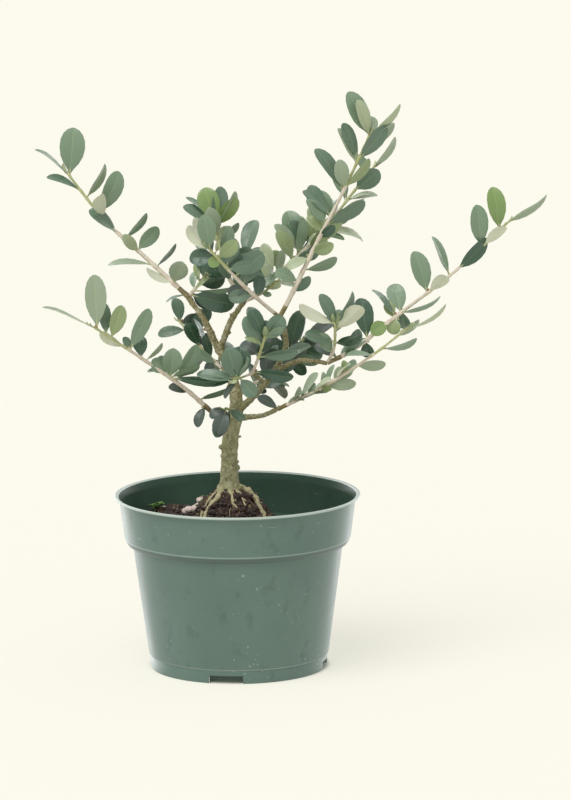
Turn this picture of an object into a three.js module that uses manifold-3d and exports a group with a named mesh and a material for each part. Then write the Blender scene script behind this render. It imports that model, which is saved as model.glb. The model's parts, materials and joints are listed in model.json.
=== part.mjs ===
// A young dwarf olive tree, rooted on a soil mound in a round plastic nursery pot.
// Millimetres and degrees, +Z up. The origin is the middle of the pot's flat underside.
// Headings are measured in the ground plane from +X towards +Y.
import * as THREE from 'three';
import { mergeVertices } from 'three/addons/utils/BufferGeometryUtils.js';
import Module from 'manifold-3d';

const wasm = await Module();
wasm.setup();

// ---------------------------------------------------------------- pot and soil

const GAP = 0.3; // clearance between neighbouring solids

const POT = { height: 108, rimRadius: 76, footRadius: 54.5, wall: 1.7, floor: 2, sides: 48 };
const COLLAR = { bottom: 77, topRadius: 73, bottomRadius: 70.2, neckRadius: 64.9 };
const FOOT_BAND = { height: 8, radius: 55, groove: 0.8 };
const DRAIN = { innerRadius: 41, outerRadius: 52.4, depth: 6.2 }; // ring channel under the pot
const NOTCH = { width: 21, height: 5, reach: 12, count: 4, firstHeading: -98.2 };

const SOIL = { level: 77, sectors: 32 };
const MOUND = { x: -3, y: 0, top: 111, flat: 8.5, spread: 33 };
const HEAP = { x: -42, y: 38, height: 13, spread: 24 }; // loose compost behind on the left
const SOIL_RINGS = [8.5, 12, 16, 20, 25, 32, 41, 56, 90]; // distances from the mound's middle

// ---------------------------------------------------------------- trunk, roots and boughs

const TRUNK_SIDES = 12;
const BOUGH_SIDES = 8;
const TWIG_SIDES = 4;
const RING_STEP = { trunk: 5, bough: 5, root: 4, twig: 9 };
const CENTRE_LINE_STEP = 2;

// A limb runs smoothly from its start through the places of its course, each [x, y, z].
// Its radii are spread evenly over its length.
const TRUNK = {
  start: [-5, 0, 110],
  course: [[-4, 0, 142], [0, 2, 166], [-6, 4, 190], [-11, 5, 198]],
  radii: [5.4, 5.1, 4.9, 3.4, 2.6],
  flare: { radius: 3, height: 4 },
};

// Surface roots run out over the mound and dip into it at their tips.
const ROOTS = [
  { heading: 4, turn: -52, length: 30, base: 2.2, tip: 1.2 },
  { heading: -118, turn: -50, length: 25, base: 1.8, tip: 1.0 },
  { heading: -150, turn: 14, length: 20, base: 1.1, tip: 0.7 },
  { heading: -58, turn: -4, length: 19, base: 1.0, tip: 0.7 },
  { heading: -84, turn: 52, length: 24, base: 1.3, tip: 0.8 },
  { heading: 58, turn: 20, length: 26, base: 1.8, tip: 0.9 },
  { heading: 142, turn: -30, length: 28, base: 1.9, tip: 1.0 },
  { heading: 28, turn: -12, length: 20, base: 1.1, tip: 0.7 },
];

// A bough starts at a share of its parent's length.
const BOUGHS = {
  bough_upper_left: {
    parent: 'trunk', at: 1, course: [[-19, 6, 215], [-29, 8, 230]], radii: [2.3, 1.7],
  },
  bough_upper_centre: {
    parent: 'trunk', at: 0.98, clearOf: ['bough_upper_left'],
    course: [[-6, 3, 208], [-2, 3, 217], [5, 4, 227]], radii: [2.1, 1.6],
  },
  bough_right_centre: {
    parent: 'trunk', at: 0.53,
    course: [[15, -1, 174], [26, -3, 189], [31, -4, 203], [27, -6, 219]], radii: [2.4, 1.8, 1.6],
  },
  bough_right_side: {
    parent: 'bough_right_centre', at: 0.5, course: [[39, -7, 192], [56, -10, 191]], radii: [1.7, 1.4],
  },
  bough_right_low: {
    parent: 'trunk', at: 0.5, course: [[16, -6, 158], [26, -11, 163]], radii: [1.8, 1.3],
  },
  bough_left_low: {
    parent: 'trunk', at: 0.48, course: [[-10, -3, 158], [-16, -5, 161]], radii: [1.9, 1.5],
  },
  bough_front: {
    parent: 'bough_right_centre', at: 0.36, course: [[14, -9, 182], [10, -16, 186]], radii: [1.2, 1],
  },
  bough_back_right: { parent: 'trunk', at: 0.65, course: [[7, 18, 171]], radii: [1.3, 1.1] },
  bough_back_left: { parent: 'trunk', at: 0.78, course: [[-9, 16, 184]], radii: [1.3, 1.1] },
};

// ---------------------------------------------------------------- foliage

// Leaves sit in opposite pairs, each pair a quarter turn on from the last.
const LEAF = {
  tipAngle: 0.65, // the end pair's angle beside the others'
  tipLength: 1.15, // and its length
  rollSpread: 18,
  angleSpread: 20,
  lengths: [0.82, 1.18], // each leaf draws a share from these ranges
  widths: [0.88, 1.12],
  cups: [-0.035, 0.065], // how far the blade bows, of its length
  thickness: 0.028, // of the length
  reach: 3, // length over which the twig's direction is taken
};
const LEAF_SECTIONS = [{ at: 0.45, half: 0.47 }, { at: 0.76, half: 0.46 }];
const LEAF_PROBES = [[0.3, 0.36], [0.5, 0.5], [0.68, 0.5], [0.85, 0.36], [1, 0]]; // [along, half width]
const LEAF_SHRINK = [1, 0.85, 0.7, 0.55]; // sizes tried before a leaf is left out
const LIGHT = new THREE.Vector3(0, -0.6, 0.8);
const LIMB_CLEARANCE = 0.8;
const MASS_CLEARANCE = 1.2;
const STAND_OFF = 0.7; // of a mass's stem where it starts beside another mass
const PROBE_STEP = 2;

// How leaves sit on a shoot that doesn't say otherwise: the first pair's distance, the spacing of
// pairs, the tip leaf's length, the lowest leaf's size beside it (young), the width as a share of the
// length, the angle they stand off at, how far they bend up to the sky, the first pair's roll, and the
// most that a blade is turned from the light.
const USUAL = {
  first: 6, spacing: 13, length: 27, young: 0.8, width: 0.4, angle: 45, upturn: 0.3, phase: 0, twist: 60,
};

// Each shoot starts at its carrier's tip, or at a share of its length.
const FOLIAGE = {
  foliage_left_low: {
    carrier: 'bough_left_low',
    shoots: [
      {
        course: [[-32, -13, 177], [-54, -24, 195], [-85, -44, 220]], radii: [1.5, 0.6],
        length: 30, spacing: 16, phase: 45, seed: 1,
      },
    ],
  },
  foliage_right_low: {
    carrier: 'bough_right_low',
    shoots: [
      {
        course: [[54, -23, 179], [84, -38, 201], [103, -50, 218]], radii: [1.3, 0.6],
        length: 22, spacing: 10, angle: 35, seed: 2,
      },
    ],
  },
  foliage_leader: {
    carrier: 'bough_right_centre',
    shoots: [
      {
        course: [[32, -5, 228], [51, 4, 265], [65, 9, 291], [83, 12, 328]], radii: [1.6, 0.8],
        spacing: 11, seed: 3,
      },
    ],
  },
  foliage_centre_front: {
    carrier: 'bough_right_centre', clearOf: ['foliage_leader'],
    shoots: [
      {
        course: [[9, -12, 236], [-15, -25, 264]], radii: [1.3, 0.7],
        length: 30, spacing: 16, phase: 45, seed: 4,
      },
    ],
  },
  foliage_right_spray: {
    carrier: 'bough_right_side',
    shoots: [
      {
        course: [[71, -7, 198], [97, 5, 216], [135, 21, 242], [168, 35, 270]], radii: [1.4, 0.7],
        spacing: 15, phase: 45, seed: 5,
      },
      { course: [[60, -13, 200], [61, -21, 217]], radii: [1.1, 0.6], length: 24, spacing: 10, seed: 6 },
    ],
  },
  foliage_upper_left: {
    carrier: 'bough_upper_left',
    shoots: [
      {
        course: [[-58, 22, 255], [-80, 31, 274], [-102, 40, 301]], radii: [1.6, 0.7],
        spacing: 14, phase: 45, seed: 7,
      },
      { course: [[-20, 15, 240], [-12, 25, 255]], radii: [1, 0.5], spacing: 11, seed: 8 },
    ],
  },
  foliage_upper_centre: {
    carrier: 'bough_upper_centre',
    shoots: [
      { course: [[-4, 9, 242], [-9, 15, 259], [-13, 20, 273]], radii: [1.4, 0.7], seed: 9 },
      { course: [[7, 34, 239], [6, 50, 247]], radii: [1.2, 0.6], spacing: 16, phase: 45, seed: 10 },
    ],
  },
  foliage_upper_right: {
    carrier: 'bough_upper_centre', clearOf: ['foliage_upper_centre'],
    shoots: [
      {
        course: [[25, 20, 241], [49, 40, 260], [85, 66, 300]], radii: [1.5, 0.7],
        first: 10, angle: 55, seed: 11,
      },
      { course: [[18, 7, 233], [32, 3, 246]], radii: [1, 0.5], angle: 55, seed: 12 },
    ],
  },
  foliage_front: {
    carrier: 'bough_front',
    shoots: [
      { course: [[13, -19, 194], [18, -26, 210]], radii: [1, 0.6], length: 30, angle: 60, seed: 13 },
      { course: [[1, -24, 184]], radii: [0.9, 0.5], length: 30, spacing: 10, seed: 14 },
    ],
  },
  foliage_back_right: {
    carrier: 'bough_back_right',
    shoots: [
      { course: [[18, 32, 176], [40, 60, 192]], radii: [1.1, 0.6], length: 30, angle: 60, seed: 15 },
    ],
  },
  foliage_back_left: {
    carrier: 'bough_back_left',
    shoots: [
      { course: [[-18, 30, 190], [-35, 56, 206]], radii: [1.1, 0.6], length: 30, angle: 60, seed: 16 },
    ],
  },
  foliage_trunk_tuft: {
    carrier: 'trunk', at: 0.55,
    shoots: [{ course: [[-6, -15, 164]], radii: [0.9, 0.6], length: 22, first: 2, seed: 17 }],
  },
};

// ---------------------------------------------------------------- solids

/** A closed solid made by joining and cutting, from a closed geometry. */
function toSolid(geometry) {
  const bare = geometry.clone();
  bare.deleteAttribute('normal');
  bare.deleteAttribute('uv');
  const merged = mergeVertices(bare);
  return new wasm.Manifold(new wasm.Mesh({
    numProp: 3,
    vertProperties: new Float32Array(merged.attributes.position.array),
    triVerts: new Uint32Array(merged.index.array),
  }));
}

/** The geometry of a joined or cut solid. */
function toGeometry(solid) {
  const mesh = solid.getMesh();
  const geometry = new THREE.BufferGeometry();
  geometry.setAttribute('position', new THREE.BufferAttribute(mesh.vertProperties, 3));
  geometry.setIndex(new THREE.BufferAttribute(mesh.triVerts, 1));
  geometry.computeVertexNormals();
  return geometry;
}

/** The largest piece of a solid: scraps that a cut leaves loose are dropped. */
function largestPiece(solid) {
  return solid.decompose().reduce((best, piece) => (piece.volume() > best.volume() ? piece : best));
}

function addMesh(name, solid, colour, roughness) {
  const material = new THREE.MeshStandardMaterial({ color: colour, roughness, metalness: 0 });
  const mesh = new THREE.Mesh(toGeometry(largestPiece(solid)), material);
  mesh.name = name;
  group.add(mesh);
}

/** A closed skin through rings of points, closed at both ends by a fan round an end point. */
function skin(rings, startPoint, endPoint) {
  const sides = rings[0].length;
  const points = [startPoint, ...rings.flat(), endPoint];
  const end = points.length - 1;
  const vertex = (ring, side) => 1 + ring * sides + (side % sides);
  const faces = [];
  for (let side = 0; side < sides; side += 1) {
    faces.push(0, vertex(0, side + 1), vertex(0, side));
    faces.push(end, vertex(rings.length - 1, side), vertex(rings.length - 1, side + 1));
    for (let ring = 0; ring < rings.length - 1; ring += 1) {
      const near = [vertex(ring, side), vertex(ring, side + 1)];
      const far = [vertex(ring + 1, side), vertex(ring + 1, side + 1)];
      faces.push(near[0], near[1], far[1], near[0], far[1], far[0]);
    }
  }
  const geometry = new THREE.BufferGeometry().setFromPoints(points);
  geometry.setIndex(faces);
  return geometry;
}

// ---------------------------------------------------------------- limbs

/** A tapering limb's centre line, with its radius at each step. */
class Limb {
  constructor(start, course, radii, flare = { radius: 0, height: 1 }) {
    const curve = new THREE.CatmullRomCurve3([start, ...course.map((place) => new THREE.Vector3(...place))]);
    const steps = Math.ceil(curve.getLength() / CENTRE_LINE_STEP);
    this.points = curve.getSpacedPoints(steps);
    this.distances = [0];
    for (let step = 1; step <= steps; step += 1) {
      this.distances.push(this.distances.at(-1) + this.points[step].distanceTo(this.points[step - 1]));
    }
    this.length = this.distances.at(-1);
    this.radii = radii;
    this.flare = flare;
  }

  locate(distance) {
    const d = THREE.MathUtils.clamp(distance, 0, this.length);
    let index = 1;
    while (index < this.distances.length - 1 && this.distances[index] < d) index += 1;
    const low = this.distances[index - 1];
    return { index, part: (d - low) / (this.distances[index] - low) };
  }

  pointAt(distance) {
    const { index, part } = this.locate(distance);
    return this.points[index - 1].clone().lerp(this.points[index], part);
  }

  radiusAt(distance) {
    const place = THREE.MathUtils.clamp(distance / this.length, 0, 1) * (this.radii.length - 1);
    const low = Math.min(Math.floor(place), this.radii.length - 2);
    const plain = THREE.MathUtils.lerp(this.radii[low], this.radii[low + 1], place - low);
    return plain + this.flare.radius * Math.exp(-distance / this.flare.height);
  }

  directionAt(distance, reach) {
    return this.pointAt(distance + reach).sub(this.pointAt(distance - reach)).normalize();
  }

  /** The limb as a closed tube, grown by a margin all round and past both ends. */
  tube(sides, step, margin = 0, setback = 0) {
    const count = Math.max(2, Math.round((this.length - setback) / step));
    const rings = [];
    const middles = [];
    let across = new THREE.Vector3(0.31, -0.95, 0.05);
    for (let ring = 0; ring <= count; ring += 1) {
      const distance = setback + ((this.length - setback) * ring) / count;
      const along = this.directionAt(distance, 0.5);
      across = across.clone().addScaledVector(along, -across.dot(along)).normalize();
      const up = along.clone().cross(across);
      const past = ring === 0 ? -margin : ring === count ? margin : 0;
      const middle = this.pointAt(distance).addScaledVector(along, past);
      const radius = this.radiusAt(distance) + margin;
      middles.push(middle);
      rings.push(Array.from({ length: sides }, (_, side) => {
        const angle = (2 * Math.PI * side) / sides;
        return middle.clone().addScaledVector(across, radius * Math.cos(angle))
          .addScaledVector(up, radius * Math.sin(angle));
      }));
    }
    return toSolid(skin(rings, middles[0], middles.at(-1)));
  }

  /** Points along the centre line, with the radius there. */
  probes() {
    const count = Math.floor(this.length / PROBE_STEP) + 1;
    return Array.from({ length: count + 1 }, (_, index) => {
      const distance = (this.length * index) / count;
      return { point: this.pointAt(distance), radius: this.radiusAt(distance) };
    });
  }
}

// ---------------------------------------------------------------- pot and soil solids

const group = new THREE.Group();

function lathe(profile, sides) {
  const points = profile.map(([radius, height]) => new THREE.Vector2(radius, height));
  const geometry = new THREE.LatheGeometry(points, sides);
  geometry.rotateX(Math.PI / 2);
  return geometry;
}

/** The pot's inside, from the drain channel's roof up to the lip, as [radius, height]. */
function innerWall() {
  const { bottom, topRadius, bottomRadius, neckRadius } = COLLAR;
  const { wall, height } = POT;
  return [
    [FOOT_BAND.radius - wall, DRAIN.depth + POT.floor],
    [neckRadius - wall, bottom + 1.4],
    [bottomRadius - wall, bottom + 5.5],
    [topRadius - wall + 0.7, height - 5],
    [topRadius + 0.5, height - 0.6],
  ];
}

function potSolid() {
  const { height, rimRadius, footRadius, floor } = POT;
  const { bottom, topRadius, bottomRadius, neckRadius } = COLLAR;
  const { innerRadius, outerRadius, depth } = DRAIN;
  const band = FOOT_BAND.height;
  const underside = [
    [0, 0], [innerRadius, 0], [innerRadius + 1, depth], [outerRadius - 0.6, depth], [outerRadius, 0],
  ];
  const outside = [
    [footRadius, 0], [FOOT_BAND.radius, band], [FOOT_BAND.radius - 0.5, band + FOOT_BAND.groove / 2],
    [FOOT_BAND.radius + 0.7, band + FOOT_BAND.groove], [neckRadius, bottom],
    [bottomRadius - 2.2, bottom + 1], [bottomRadius - 0.4, bottom + 4], [topRadius, height - 5.6],
    [rimRadius - 1.2, height - 4], [rimRadius, height - 2], [rimRadius - 0.1, height - 0.8],
    [rimRadius - 0.9, height],
  ];
  const inside = innerWall().reverse();
  const plate = [[innerRadius - 0.8, depth + floor], [innerRadius - 1.8, floor], [0, floor]];
  let pot = toSolid(lathe([...underside, ...outside, ...inside, ...plate], POT.sides));
  for (let index = 0; index < NOTCH.count; index += 1) {
    const notch = new THREE.BoxGeometry(NOTCH.reach, NOTCH.width, NOTCH.height * 2);
    notch.translate(footRadius, 0, 0);
    notch.rotateZ(THREE.MathUtils.degToRad(NOTCH.firstHeading + (360 * index) / NOTCH.count));
    pot = pot.subtract(toSolid(notch));
  }
  return pot;
}

function groundHeight(x, y) {
  const away = Math.hypot(x - MOUND.x, y - MOUND.y);
  const slope = THREE.MathUtils.smoothstep(away, MOUND.flat, MOUND.flat + MOUND.spread);
  const heapAway = Math.hypot(x - HEAP.x, y - HEAP.y) / HEAP.spread;
  const heap = HEAP.height * Math.exp(-(heapAway ** 2) / 2);
  return SOIL.level + (MOUND.top - SOIL.level) * (1 - slope) + heap * slope;
}

/** Everything under the ground's surface, raised by a margin. */
function groundSolid(margin) {
  const ring = (radius, heightAt) => Array.from({ length: SOIL.sectors }, (_, sector) => {
    const angle = (2 * Math.PI * sector) / SOIL.sectors;
    const x = MOUND.x + radius * Math.cos(angle);
    const y = MOUND.y + radius * Math.sin(angle);
    return new THREE.Vector3(x, y, heightAt(x, y));
  });
  const under = -10;
  const surface = (x, y) => groundHeight(x, y) + margin;
  const rings = [ring(SOIL_RINGS.at(-1), () => under)];
  [...SOIL_RINGS].reverse().forEach((radius) => rings.push(ring(radius, surface)));
  const middle = (height) => new THREE.Vector3(MOUND.x, MOUND.y, height);
  return toSolid(skin(rings, middle(under), middle(surface(MOUND.x, MOUND.y))));
}

function soilSolid() {
  const wall = innerWall().map(([radius, height]) => [radius - GAP, height]);
  wall[0][1] += GAP;
  const floor = POT.floor + GAP;
  const step = DRAIN.innerRadius - GAP;
  const plate = [[0, floor], [step - 1.8, floor], [step - 0.8, wall[0][1]]];
  const top = POT.height + 10;
  const filling = toSolid(lathe([...plate, ...wall, [wall.at(-1)[0], top], [0, top]], POT.sides));
  return filling.intersect(groundSolid(0));
}

/** A surface root, lying half in the mound and dipping under at its tip. */
function rootTube({ heading, turn, length, base, tip }) {
  const steps = Math.round(length / RING_STEP.root);
  const start = new THREE.Vector3(...TRUNK.start);
  const course = [1 / 3, 2 / 3, 1].map((share) => {
    const towards = THREE.MathUtils.degToRad(heading + (turn * share) / 2);
    const away = new THREE.Vector3(Math.cos(towards), Math.sin(towards), 0);
    return start.clone().addScaledVector(away, length * share).toArray();
  });
  const root = new Limb(start, course, [base, tip]);
  const sides = 6;
  const middles = Array.from({ length: steps + 1 }, (_, index) => {
    const part = index / steps;
    const middle = root.pointAt(length * part);
    const radius = THREE.MathUtils.lerp(base, tip, part);
    const sink = part < 0.75 ? 0.45 : THREE.MathUtils.lerp(0.45, -1.6, (part - 0.75) / 0.25);
    middle.z = groundHeight(middle.x, middle.y) + sink * radius;
    return { middle, radius, along: root.directionAt(length * part, 1) };
  });
  const rings = middles.map(({ middle, radius, along }) => {
    const across = new THREE.Vector3(-along.y, along.x, 0).normalize();
    return Array.from({ length: sides }, (_, side) => {
      const angle = (2 * Math.PI * side) / sides;
      const point = middle.clone().addScaledVector(across, radius * Math.cos(angle));
      point.z += radius * Math.sin(angle);
      return point;
    });
  });
  return toSolid(skin(rings, middles[0].middle, middles.at(-1).middle));
}

// ---------------------------------------------------------------- the tree's limbs

const limbs = { trunk: new Limb(new THREE.Vector3(...TRUNK.start), TRUNK.course, TRUNK.radii, TRUNK.flare) };
for (const [name, { parent, at, course, radii }] of Object.entries(BOUGHS)) {
  const carrier = limbs[parent];
  limbs[name] = new Limb(carrier.pointAt(carrier.length * at), course, radii);
}

function trunkSolid() {
  const stem = limbs.trunk.tube(TRUNK_SIDES, RING_STEP.trunk);
  return ROOTS.reduce((solid, root) => solid.add(rootTube(root)), stem).subtract(groundSolid(GAP));
}

function boughSolid(name) {
  const { parent, clearOf = [] } = BOUGHS[name];
  const solid = limbs[name].tube(BOUGH_SIDES, RING_STEP.bough);
  return [parent, ...clearOf].reduce(
    (rest, other) => rest.subtract(limbs[other].tube(TRUNK_SIDES, RING_STEP.trunk, GAP)), solid);
}

// ---------------------------------------------------------------- leaves

/** Repeatable numbers from 0 to 1, from a whole-number seed. */
function* randomNumbers(seed) {
  const modulus = 2147483647;
  const multiplier = 16807;
  let state = seed;
  for (let warm = 0; warm < 3; warm += 1) state = (state * multiplier) % modulus;
  for (;;) {
    state = (state * multiplier) % modulus;
    yield (state - 1) / (modulus - 1);
  }
}

/** The leaves of one shoot, before any is shortened or left out. */
function shootLeaves(limb, leafing) {
  const { first, spacing, length, young, width, angle, upturn, phase, twist, seed } = leafing;
  const numbers = randomNumbers(seed);
  const draw = () => numbers.next().value;
  const spread = (range) => range * (2 * draw() - 1);
  const pairs = Math.max(1, Math.floor((limb.length - first) / spacing + 0.5) + 1);
  const step = pairs > 1 ? (limb.length - first) / (pairs - 1) : 0;
  const leaves = [];
  for (let pair = 0; pair < pairs; pair += 1) {
    const distance = Math.min(first + pair * step, limb.length - 0.3);
    const along = limb.directionAt(distance, LEAF.reach);
    const side = along.clone().cross(new THREE.Vector3(0, 0, 1)).normalize();
    const other = along.clone().cross(side);
    for (const half of [0, 180]) {
      const roll = THREE.MathUtils.degToRad(phase + 90 * pair + half + spread(LEAF.rollSpread));
      const last = pair === pairs - 1;
      const open = THREE.MathUtils.degToRad((last ? LEAF.tipAngle : 1) * angle + spread(LEAF.angleSpread));
      const grown = (last ? LEAF.tipLength : 1) * (young + ((1 - young) * (pair + 1)) / pairs);
      const size = length * grown * THREE.MathUtils.lerp(...LEAF.lengths, draw());
      const turned = THREE.MathUtils.degToRad(spread(twist));
      const plump = draw();
      const out = along.clone().multiplyScalar(Math.cos(open))
        .addScaledVector(side, Math.sin(open) * Math.cos(roll))
        .addScaledVector(other, Math.sin(open) * Math.sin(roll));
      out.z += upturn;
      out.normalize();
      const lit = LIGHT.clone().addScaledVector(out, -LIGHT.dot(out)).normalize();
      const level = lit.clone().cross(out);
      const across = level.multiplyScalar(Math.cos(turned)).addScaledVector(lit, Math.sin(turned));
      leaves.push({
        root: limb.pointAt(distance), out, across, face: out.clone().cross(across), length: size,
        width: size * width * THREE.MathUtils.lerp(...LEAF.widths, plump),
        cup: THREE.MathUtils.lerp(...LEAF.cups, plump),
      });
    }
  }
  return leaves;
}

/** A place on a leaf: how far along, and how far to one side as a share of the width. */
function leafPoint(leaf, along, sideways) {
  return leaf.root.clone().addScaledVector(leaf.out, along * leaf.length)
    .addScaledVector(leaf.across, sideways * leaf.width)
    .addScaledVector(leaf.face, leaf.cup * leaf.length * Math.sin(Math.PI * along));
}

function leafSolid(leaf) {
  const thick = leaf.length * LEAF.thickness;
  const rings = LEAF_SECTIONS.map(({ at, half }) => {
    const middle = leafPoint(leaf, at, 0);
    return [
      leafPoint(leaf, at, half), middle.clone().addScaledVector(leaf.face, thick / 2),
      leafPoint(leaf, at, -half), middle.clone().addScaledVector(leaf.face, -thick / 2),
    ];
  });
  return toSolid(skin(rings, leaf.root, leafPoint(leaf, 1, 0)));
}

// ---------------------------------------------------------------- foliage masses

const nearest = (probes, point) => probes.reduce(
  (least, probe) => Math.min(least, probe.point.distanceTo(point) - probe.radius), Infinity);
const centreLines = (shoots) => shoots.flatMap(
  ({ limb }) => limb.probes().map(({ point }) => ({ point, radius: 0 })));

const limbProbes = Object.values(limbs).flatMap((limb) => limb.probes());
const masses = Object.entries(FOLIAGE).map(([name, { carrier, at = 1, clearOf = [], shoots }]) => {
  const start = limbs[carrier].pointAt(limbs[carrier].length * at);
  return {
    name,
    carrier: limbs[carrier],
    clearOf,
    shoots: shoots.map((spec) => ({ spec, limb: new Limb(start, spec.course, spec.radii) })),
  };
});

/** True if a leaf stays in its own mass's space and off every limb. */
function leafFits(leaf, own, others) {
  const probes = LEAF_PROBES.flatMap(([along, half]) => (
    half ? [0, half, -half] : [0]).map((sideways) => leafPoint(leaf, along, sideways)));
  return probes.every((point) => nearest(limbProbes, point) > LIMB_CLEARANCE
    && nearest(others, point) - nearest(own, point) > MASS_CLEARANCE);
}

function massSolid(mass) {
  const own = centreLines(mass.shoots);
  const others = masses.filter((other) => other !== mass).flatMap((other) => centreLines(other.shoots));
  const parts = [];
  for (const { spec, limb } of mass.shoots) {
    parts.push(limb.tube(TWIG_SIDES, RING_STEP.twig, 0, mass.clearOf.length ? STAND_OFF : 0));
    for (const leaf of shootLeaves(limb, { ...USUAL, ...spec })) {
      const sizes = LEAF_SHRINK.map(
        (scale) => ({ ...leaf, length: leaf.length * scale, width: leaf.width * scale }));
      const fitting = sizes.find((size) => leafFits(size, own, others));
      if (fitting) parts.push(leafSolid(fitting));
    }
  }
  const joined = parts.reduce((solid, part) => solid.add(part));
  const tubes = [mass.carrier.tube(TRUNK_SIDES, RING_STEP.trunk, GAP)];
  for (const name of mass.clearOf) {
    const neighbour = masses.find((other) => other.name === name);
    neighbour.shoots.forEach(({ limb }) => tubes.push(limb.tube(TWIG_SIDES, RING_STEP.twig, GAP)));
  }
  return tubes.reduce((solid, tube) => solid.subtract(tube), joined);
}

// ---------------------------------------------------------------- assembly

const POT_COLOUR = 0x5f7a69;
const SOIL_COLOUR = 0x32281e;
const BARK_COLOUR = 0x968f6b;
const BOUGH_COLOUR = 0x7d7040;
const LEAF_COLOUR = 0x5d7a5c;

addMesh('pot', potSolid(), POT_COLOUR, 0.5);
addMesh('soil', soilSolid(), SOIL_COLOUR, 0.95);
addMesh('trunk', trunkSolid(), BARK_COLOUR, 0.85);
Object.keys(BOUGHS).forEach((name) => addMesh(name, boughSolid(name), BOUGH_COLOUR, 0.8));
masses.forEach((mass) => addMesh(mass.name, massSolid(mass), LEAF_COLOUR, 0.55));

export default group;
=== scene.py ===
"""A potted dwarf olive tree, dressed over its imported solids.

Sizes are in millimetres and angles in degrees; meshes are in metres. The origin is the middle of the
pot's flat underside, with Z up, and headings run in the ground plane from +X towards +Y.
"""

from __future__ import annotations

import json
import logging
import math
from dataclasses import dataclass, field, replace
from enum import Enum, IntEnum
from typing import Callable, Iterable, Iterator, Sequence, Union

import bpy
import numpy as np
from mathutils import Matrix, Vector, noise

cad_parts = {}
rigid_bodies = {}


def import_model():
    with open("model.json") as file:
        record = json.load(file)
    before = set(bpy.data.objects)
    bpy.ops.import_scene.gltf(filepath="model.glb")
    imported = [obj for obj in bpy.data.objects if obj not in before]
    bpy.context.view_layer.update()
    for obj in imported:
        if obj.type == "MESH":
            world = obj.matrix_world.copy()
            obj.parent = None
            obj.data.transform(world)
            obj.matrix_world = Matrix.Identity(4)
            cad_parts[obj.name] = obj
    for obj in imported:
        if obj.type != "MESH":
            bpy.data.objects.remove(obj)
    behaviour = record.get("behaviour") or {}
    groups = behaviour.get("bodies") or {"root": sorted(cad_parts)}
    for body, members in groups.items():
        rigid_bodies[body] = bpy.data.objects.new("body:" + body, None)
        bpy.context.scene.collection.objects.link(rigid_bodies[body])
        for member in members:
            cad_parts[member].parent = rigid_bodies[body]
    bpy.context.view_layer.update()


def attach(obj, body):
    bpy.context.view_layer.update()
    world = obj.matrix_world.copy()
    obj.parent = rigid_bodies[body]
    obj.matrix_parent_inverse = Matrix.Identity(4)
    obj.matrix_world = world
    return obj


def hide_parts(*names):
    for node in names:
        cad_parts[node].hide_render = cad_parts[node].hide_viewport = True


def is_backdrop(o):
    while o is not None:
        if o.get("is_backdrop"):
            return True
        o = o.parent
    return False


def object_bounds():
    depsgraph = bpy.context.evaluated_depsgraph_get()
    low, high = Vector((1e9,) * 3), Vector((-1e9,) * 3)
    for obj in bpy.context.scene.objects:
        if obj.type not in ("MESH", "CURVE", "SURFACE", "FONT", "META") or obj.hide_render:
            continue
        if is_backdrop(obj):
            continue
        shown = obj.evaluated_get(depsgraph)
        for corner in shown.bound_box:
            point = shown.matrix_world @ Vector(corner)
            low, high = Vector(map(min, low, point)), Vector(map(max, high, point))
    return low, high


LOG = logging.getLogger("potted_olive")
MM = 0.001
UP = np.array([0.0, 0.0, 1.0])
Colour = tuple[int, int, int]
Place = tuple[float, float, float]
Span = tuple[float, float]
Strand = tuple[np.ndarray, list[float]]
Socket = bpy.types.NodeSocket
Input = Union[Socket, float, tuple[float, ...]]


# ---------------------------------------------------------------- small helpers


def linear(colour: Colour) -> tuple[float, ...]:
    """Turns a screen colour into the opaque linear colour that a shader takes."""
    shares = [value / 255 for value in colour]
    return (*(s / 12.92 if s <= 0.04045 else ((s + 0.055) / 1.055) ** 2.4 for s in shares), 1.0)


def blend_colour(first: Colour, second: Colour, share: float) -> Colour:
    """Mixes two screen colours, with a share of the second."""
    return tuple(round(a + (b - a) * share) for a, b in zip(first, second))


def unit(vector: np.ndarray) -> np.ndarray:
    """Returns the vector at a length of one."""
    return vector / np.linalg.norm(vector)


def smoothstep(value: float, low: float, high: float) -> float:
    """Returns 0 below low, 1 above high, and an eased share between them."""
    share = min(max((value - low) / (high - low), 0.0), 1.0)
    return share * share * (3 - 2 * share)


def within(span: Span, share: float) -> float:
    """Returns the value at a share of the way through a span."""
    return span[0] + (span[1] - span[0]) * share


def wandering(x: float, y: float, z: float) -> Vector:
    """Returns three smooth noises at a place, one along each axis and the same each run."""
    return Vector([noise.noise(Vector((x + 17.3 * axis, y, z - 9.1 * axis))) for axis in range(3)])


def random_numbers(seed: int) -> Iterator[float]:
    """Gives repeatable numbers from 0 to 1.

    Args:
        seed: A whole number that starts the run.

    Yields:
        The next number.
    """
    modulus = 2147483647
    multiplier = 16807
    state = seed
    for _ in range(3):
        state = (state * multiplier) % modulus
    while True:
        state = (state * multiplier) % modulus
        yield (state - 1) / (modulus - 1)


# ---------------------------------------------------------------- the plant's sizes


@dataclass(frozen=True)
class Leafing:
    """How leaves sit on one shoot: pair spacing, sizes, angles and the seed that varies them."""

    seed: int
    first: float = 6
    spacing: float = 13
    length: float = 27
    young: float = 0.8
    width: float = 0.4
    angle: float = 45
    upturn: float = 0.3
    phase: float = 0
    twist: float = 60


class Spray(Enum):
    """The leaf tones that one shoot's leaves are dealt, as shares of the leaf palette. The dark shares of
    inner and back shoots and the light shares of outer ones are partly the leaves' own tones and partly
    painted shade and light across the crown.
    """

    SHADED = (5, 5, 5, 2, 0, 0, 0, 0)
    MIXED = (4, 2, 5, 4, 3, 1, 0, 1)
    OUTER = (1, 0, 3, 5, 6, 1, 0, 4)
    FRESH = (2, 0, 4, 4, 4, 3, 1, 2)
    PALE = (1, 0, 2, 4, 5, 1, 0, 6)


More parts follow.
